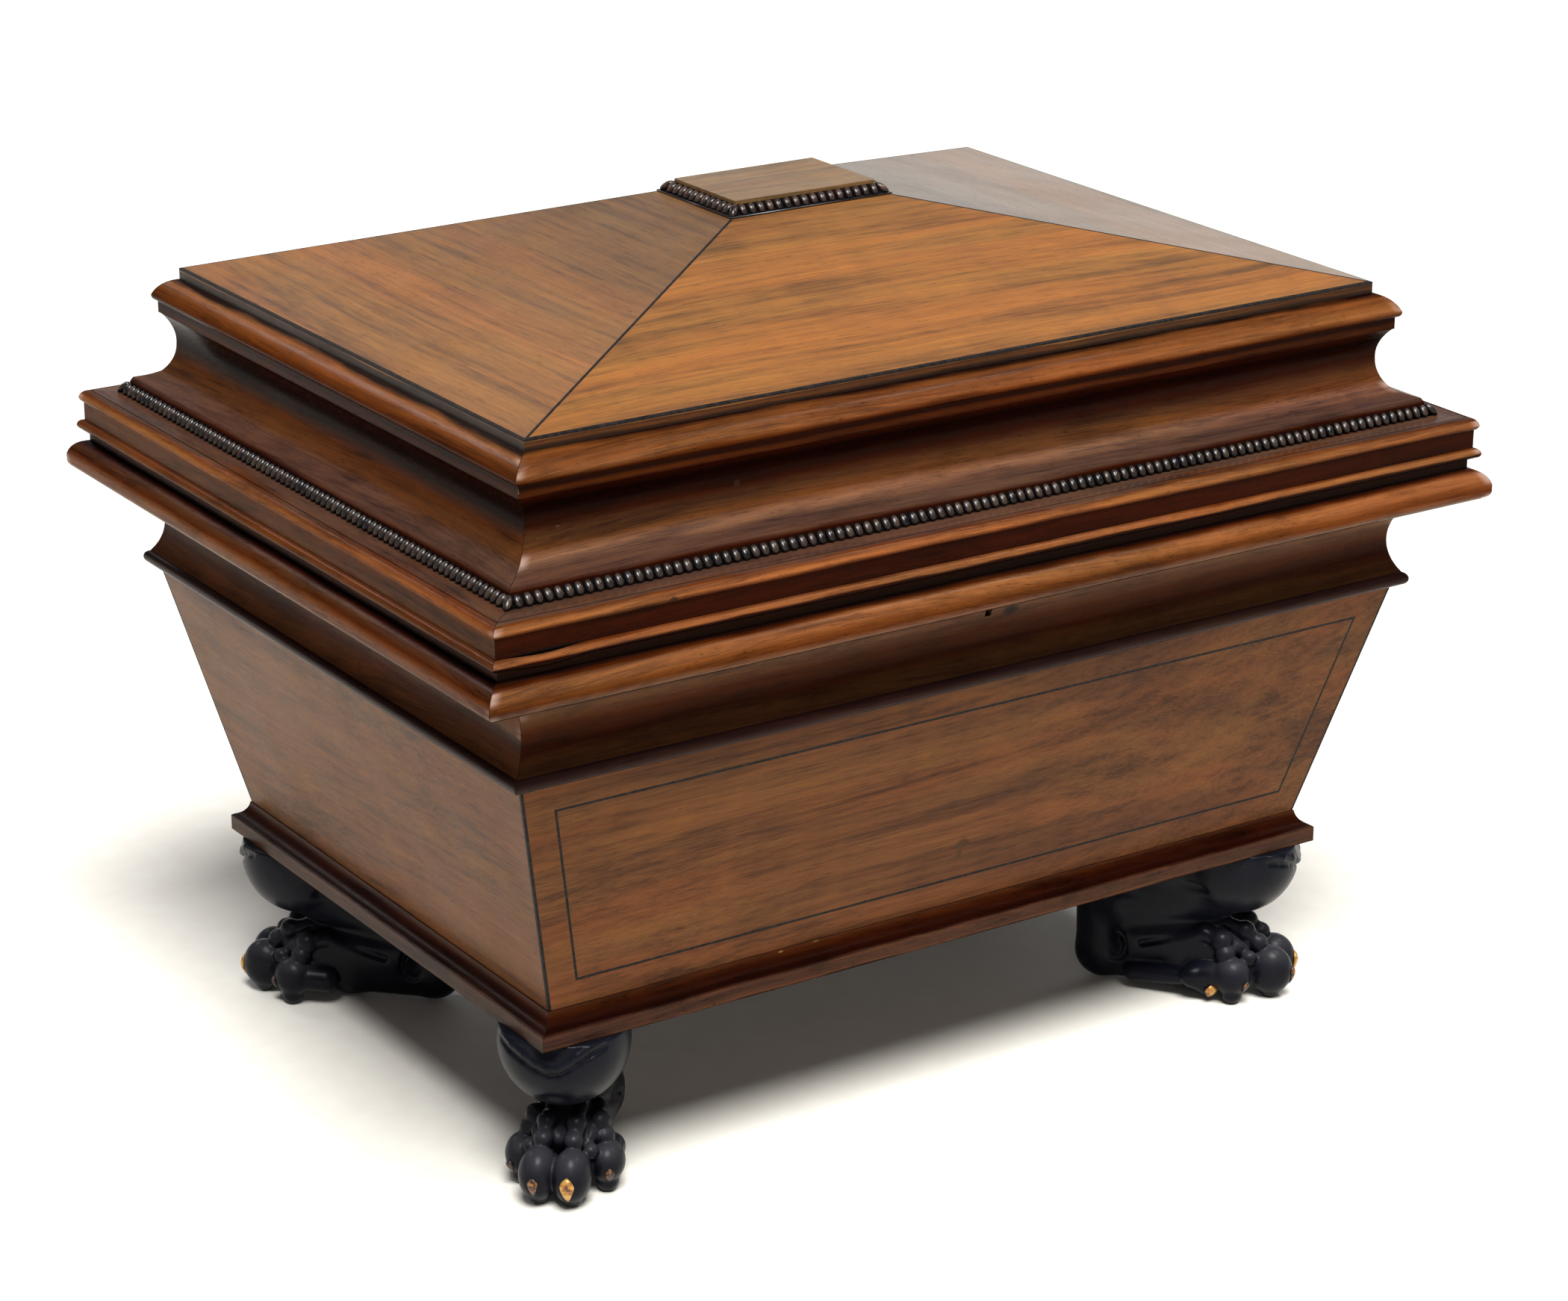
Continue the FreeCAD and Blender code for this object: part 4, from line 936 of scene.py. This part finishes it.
def make_feet():
    foot, claws = foot_mesh(paw_paint()), claw_mesh(gilding())
    for row, sy in (("front_", -1), ("back_", 1)):
        for side, sx in (("left", -1), ("right", 1)):
            name = row + side
            corner = Vector((sx * plinth_half[0], sy * plinth_half[1], 0))
            place = Matrix.Translation(corner) @ Matrix.Rotation(math.atan2(sy, sx), 4, "Z")
            shown("paw_" + name, foot, "carcass", ["paw_foot_" + name], place)
            shown("claws_" + name, claws, "carcass", (), place)


# ---------------------------------------------------------------- finish of the carried-over nodes
ARRIS = 0.5 * MM


def dress(material, *names):
    for name in names:
        data = nodes[name].data
        data.materials.clear()
        data.materials.append(material)


def soften(made, bevel=0.0):
    """Smooth shading across the facets of curved mouldings, with sharp arrises softened."""
    crisp, rounded = math.radians(25), math.radians(30)
    made.data.shade_smooth()
    made.data.set_sharp_from_angle(angle=crisp)
    if bevel:
        modifier = made.modifiers.new("arris", "BEVEL")
        modifier.width = bevel
        modifier.segments = 2
        modifier.limit_method = "ANGLE"
        modifier.angle_limit = rounded
        modifier.harden_normals = True
        modifier.miter_outer = "MITER_ARC"


# Middle colours of the wood, and its gloss as (roughness, specular level, coat)
ROOF = (0.228, 0.089, 0.0225)
ROOF_END = (0.20, 0.080, 0.0215)
# The right roof board is greyer: a painted reflection of the bright surround.
ROOF_RIGHT = (0.16, 0.082, 0.035)
TABLET = (0.17, 0.090, 0.032)
PANEL = (0.139, 0.053, 0.020)
PANEL_END = (0.145, 0.054, 0.0165)
MOULDING = (0.25, 0.085, 0.024)
PLINTH = (0.205, 0.082, 0.036)
SATIN = (0.34, 0.22, 0.0)
GLAZED = (0.34, 0.60, 0.15)
POLISH = (0.23, 0.035, 0.0)
POLISH_END = (0.26, 0.025, 0.0)
SHADED = (0.30, 0.075, 0.0)
SHADED_END = (0.32, 0.030, 0.0)
# Tints of the members: partly stain and worn polish, largely painted highlight, painted sheen and painted
# shade
CLEAR = (1.0, 1.0, 1.0)
TOP_SHADE_LIGHT = (0.78, 0.84, 0.92)
TOP_SHADE_DEEP = (0.58, 0.67, 0.82)
GREY_SHEEN = (0.62, 0.82, 1.60)
GOLD = (0.95, 0.98, 1.10)
HONEY = (0.72, 0.76, 0.90)
AMBER = (0.48, 0.42, 0.36)
BROWN = (0.34, 0.33, 0.38)
DIM_SHEEN = (0.28, 0.38, 0.85)
SOFT_SHEEN = (0.42, 0.55, 0.90)
RUSSET = (0.34, 0.24, 0.14)
UMBER = (0.22, 0.24, 0.34)
RED = (0.20, 0.12, 0.06)
COCOA = (0.10, 0.10, 0.20)
WINE = (0.105, 0.042, 0.025)
NEAR_BLACK = (0.050, 0.020, 0.022)
BLACK = (0.022, 0.011, 0.014)

SCORED_OUT = 55.2 * MM
# Knots, scars, chips and one painted shadow: (centre, radii, colour)
ROOF_MARKS = (((-0.058, -0.123, 0.660), (0.0035, 0.003, 0.003), (0.70, 0.62, 0.48)),)
PANEL_MARKS = (
    ((0.009, -0.251, 0.216), (0.0065, 0.02, 0.005), (0.058, 0.026, 0.013)),
    ((0.007, -0.251, 0.208), (0.003, 0.02, 0.007), (0.070, 0.031, 0.015)),
)
CORNICE_MARKS = (((-0.395, -0.282, 0.577), (0.0028, 0.0028, 0.004), (0.55, 0.34, 0.20)),)
CAVETTO_MARKS = (
    ((-0.357, -0.287, 0.5435), (0.004, 0.02, 0.0007), (0.34, 0.20, 0.12)),
    ((-0.210, -0.275, 0.548), (0.003, 0.02, 0.003), (0.03, 0.012, 0.008)),
)
LID_MARKS = (
    ((-0.300, -0.329, 0.4965), (0.0035, 0.01, 0.0022), (0.03, 0.014, 0.008)),
    # A near-black streak along the sprung bead: painted shadow in its gap.
    ((-0.402, -0.330, 0.4785), (0.034, 0.02, 0.0024), (0.003, 0.002, 0.002)),
)
FRIEZE_MARKS = (((0.024, -0.292, 0.4125), (0.0105, 0.02, 0.0048), (0.012, 0.009, 0.009)),)
PLINTH_MARKS = (
    ((-0.118, -0.2535, 0.161), (0.008, 0.02, 0.0018), (0.42, 0.24, 0.06)),
    ((-0.150, -0.2535, 0.160), (0.004, 0.02, 0.0014), (0.36, 0.20, 0.06)),
)


def rising(base, *stops):
    """Stains from a level upwards; heights above it are in millimetres."""
    return [(base + height * MM, tint) for height, tint in stops]


def dress_boards():
    """The roof, the panels and the tablet."""
    # The slab's edge darkens under the eaves, partly its colour, partly painted shade; the boards darken
    # towards the crown as painted shade.
    roof_tone = rising(
        eaves, (0, BLACK), (2, NEAR_BLACK), (4, RUSSET), (6.4, RED), (7.6, CLEAR), (60, CLEAR), (74, TOP_SHADE_LIGHT),
    )
    roof_end_tone = rising(
        eaves, (0, BLACK), (3, BLACK), (6.4, NEAR_BLACK), (7.6, CLEAR), (30, CLEAR), (60, TOP_SHADE_DEEP),
    )
    for side in SIDES:
        grain = "x" if side in ("front", "back") else "y"
        roof_colour = ROOF_RIGHT if side == "right" else ROOF if grain == "x" else ROOF_END
        gloss = GLAZED if side == "right" else SATIN
        tone = roof_tone if grain == "x" else roof_end_tone
        marks = ROOF_MARKS if side == "front" else ()
        roof_wood = mahogany(
            "roof_veneer_" + side, roof_colour, grain, gloss, tone, grime_and_shade=0.3, wear_and_glint=0.2, marks=marks,
        )
        dress(roof_wood, "roof_" + side)
        panel_colour = PANEL if grain == "x" else PANEL_END
        # The front panel's bands deepen to the right as painted shade.
        sweep, figure_and_shade, marks = (0.16, 0.9, PANEL_MARKS) if side == "front" else (0.0, 0.5, ())
        panel_wood = mahogany(
            "panel_veneer_" + side, panel_colour, grain, SHADED, grime_and_shade=0.3, curl=0.04, wear_and_glint=0.25, sweep=sweep,
            figure_and_shade=figure_and_shade, marks=marks,
        )
        dress(panel_wood, "panel_" + side)
        soften(nodes["roof_" + side])
        soften(nodes["panel_" + side])
    dress(mahogany("tablet_veneer", TABLET, "x", SATIN, grime_and_shade=0.2), "tablet")


def dress_mouldings():
    """The mouldings from the cornice to the plinth, tinted member by member with stain and painted light."""
    # Painted highlights on the noses, painted sheen on bright faces, painted shade under noses and in
    # hollows.
    cornice_tone = rising(
        cornice_base, (0, NEAR_BLACK), (2, RED), (4, RED), (6.2, NEAR_BLACK), (9.4, WINE), (12.8, RUSSET), (16.5, HONEY),
        (22.8, AMBER), (25.6, AMBER), (27.6, BLACK),
    )
    cornice_end_tone = rising(
        cornice_base, (0, NEAR_BLACK), (2, RED), (4, RED), (6.2, NEAR_BLACK), (9.4, WINE), (12.8, RED), (16.5, RUSSET),
        (22.8, AMBER), (25.6, HONEY), (27.6, BLACK),
    )
    cavetto_tone = rising(
        lid_flat, (0, BLACK), (10, WINE), (13, DIM_SHEEN), (17, DIM_SHEEN), (22, GREY_SHEEN), (28, BROWN), (36, UMBER),
        (44, WINE), (51, NEAR_BLACK), (60, BLACK), (66, WINE),
    )
    cavetto_end_tone = rising(
        lid_flat, (0, BLACK), (10, WINE), (13, DIM_SHEEN), (17, DIM_SHEEN), (22, BROWN), (28, BROWN), (34, RUSSET),
        (43, NEAR_BLACK), (51, BLACK), (66, NEAR_BLACK),
    )
    lid_tone = rising(
        lid_bottom, (0, BLACK), (3.5, NEAR_BLACK), (29, WINE), (32, WINE), (34, AMBER), (36.5, GOLD), (38.5, HONEY),
        (40.4, RUSSET), (41.4, DIM_SHEEN),
    )
    lid_end_tone = rising(
        lid_bottom, (0, BLACK), (3.5, WINE), (12, BROWN), (29, BROWN), (31.5, AMBER), (37, HONEY),
        (39, AMBER), (40.4, RUSSET), (41.4, DIM_SHEEN),
    )
    bead_tone = rising(lid_flat, (-32, BLACK), (-29.5, NEAR_BLACK), (-28, HONEY), (-26, HONEY), (-24.5, RUSSET))
    bead_end_tone = rising(
        lid_flat, (-32, NEAR_BLACK), (-29.5, BROWN), (-28, BROWN), (-26, RUSSET), (-24.5, RUSSET),
    )
    rim_tone = rising(
        rim_base, (0, BLACK), (3.5, GREY_SHEEN), (8, RUSSET), (12, AMBER), (16, HONEY), (20, HONEY), (22.5, RED),
        (24, NEAR_BLACK),
    )
    rim_end_tone = rising(
        rim_base, (0, BLACK), (3.5, GREY_SHEEN), (8, GREY_SHEEN), (12, AMBER), (16, RED), (20, UMBER), (22.5, WINE),
        (24, BLACK),
    )
    frieze_tone = rising(
        rim_base, (-77, NEAR_BLACK), (-58, UMBER), (-48, WINE), (-36, RED), (-24, SOFT_SHEEN), (-12, SOFT_SHEEN), (-4, WINE),
    )
    frieze_end_tone = rising(
        rim_base, (-77, NEAR_BLACK), (-58, BROWN), (-48, RED), (-41, DIM_SHEEN), (-36, GREY_SHEEN), (-30, AMBER),
        (-12, RUSSET), (-4, RUSSET),
    )
    waist_tone = rising(waist, (0, NEAR_BLACK), (4, COCOA), (9, COCOA))
    plinth_tone = rising(
        foot_top, (0, BLACK), (1.5, BROWN), (3, UMBER), (8, UMBER), (11, BROWN), (13, NEAR_BLACK), (19, WINE),
        (24, RED),
    )
    for name, middle, gloss, tone, end_tone, wear_and_glint, marks in (
        ("cornice", MOULDING, POLISH, cornice_tone, cornice_end_tone, 0.8, CORNICE_MARKS),
        ("lid_bead", MOULDING, POLISH, bead_tone, bead_end_tone, 0.8, ()),
        ("waist_bead", PLINTH, SHADED, waist_tone, (), 0.8, ()),
        ("plinth_moulding", PLINTH, SHADED, plinth_tone, (), 1.3, PLINTH_MARKS),
    ):
        wood = mahogany(name + "_wood", middle, "mitred", gloss, tone, end_tone, wear_and_glint=wear_and_glint, marks=marks)
        dress(wood, name)
        soften(nodes[name], ARRIS)
    # The end lengths take their own tints, set for how they are lit.
    for name, gloss, tone, end_gloss, end_tone, marks in (
        ("lid_cavetto", POLISH, cavetto_tone, POLISH_END, cavetto_end_tone, CAVETTO_MARKS),
        ("lid_base", POLISH, lid_tone, POLISH_END, lid_end_tone, LID_MARKS),
        ("rim", POLISH, rim_tone, POLISH_END, rim_end_tone, ()),
        ("frieze", SHADED, frieze_tone, SHADED_END, frieze_end_tone, FRIEZE_MARKS),
    ):
        use = {"wear_and_glint": 0.8, "scored": SCORED_OUT if name == "lid_base" else 0.0}
        wood = mahogany(name + "_wood", MOULDING, "mitred", gloss, tone, marks=marks, **use)
        end_wood = mahogany(name + "_end_wood", MOULDING, "mitred", end_gloss, end_tone, **use)
        for side in SIDES:
            dress(wood if side in ("front", "back") else end_wood, name + "_" + side)
            soften(nodes[name + "_" + side], ARRIS)


def dress_fittings():
    """The ebony lines, the inside and the metalwork."""
    dress(ebony(), "arris_stringing", "front_panel_stringing", "roof_stringing")
    divider_wood = mahogany("divider_wood", PANEL, "x", (0.55, 0.3, 0.0))
    dress(divider_wood, "bottle_dividers_long", "bottle_dividers_cross")
    dress(softwood("aged_pine", 1.0), "roof_glue_blocks", "crown_block", "foot_dowels")
    # The carcass bottom is darkened to a fifth of the pine's colour.
    dress(softwood("darkened_pine", 0.2), "carcass_bottom")
    dress(sheet_lead(), "lead_lining_floor", "lead_lining_walls")
    brass = old_metal("aged_brass", (0.62, 0.42, 0.17), (0.18, 0.11, 0.05))
    steel = old_metal("dulled_steel", (0.36, 0.35, 0.34), (0.1, 0.09, 0.085))
    dress(brass, "hinge_lower_leaves", "hinge_upper_leaves", "lock_case", "lock_cover", "strike_plate")
    dress(
        steel, "hinge_pins", "hinge_lower_screws", "hinge_upper_screws", "lock_bolt", "lock_drill_pin",
        "lock_screws", "strike_screws",
    )


make_camera()
make_studio()
dress_boards()
dress_mouldings()
dress_fittings()
lid_gadroon(gadroon_paint("lid_gadroon_paint", (0.055, 0.034, 0.022)))
crown_gadroon(gadroon_paint("crown_gadroon_paint", (0.075, 0.036, 0.024)))
sprung_bead()
make_feet()
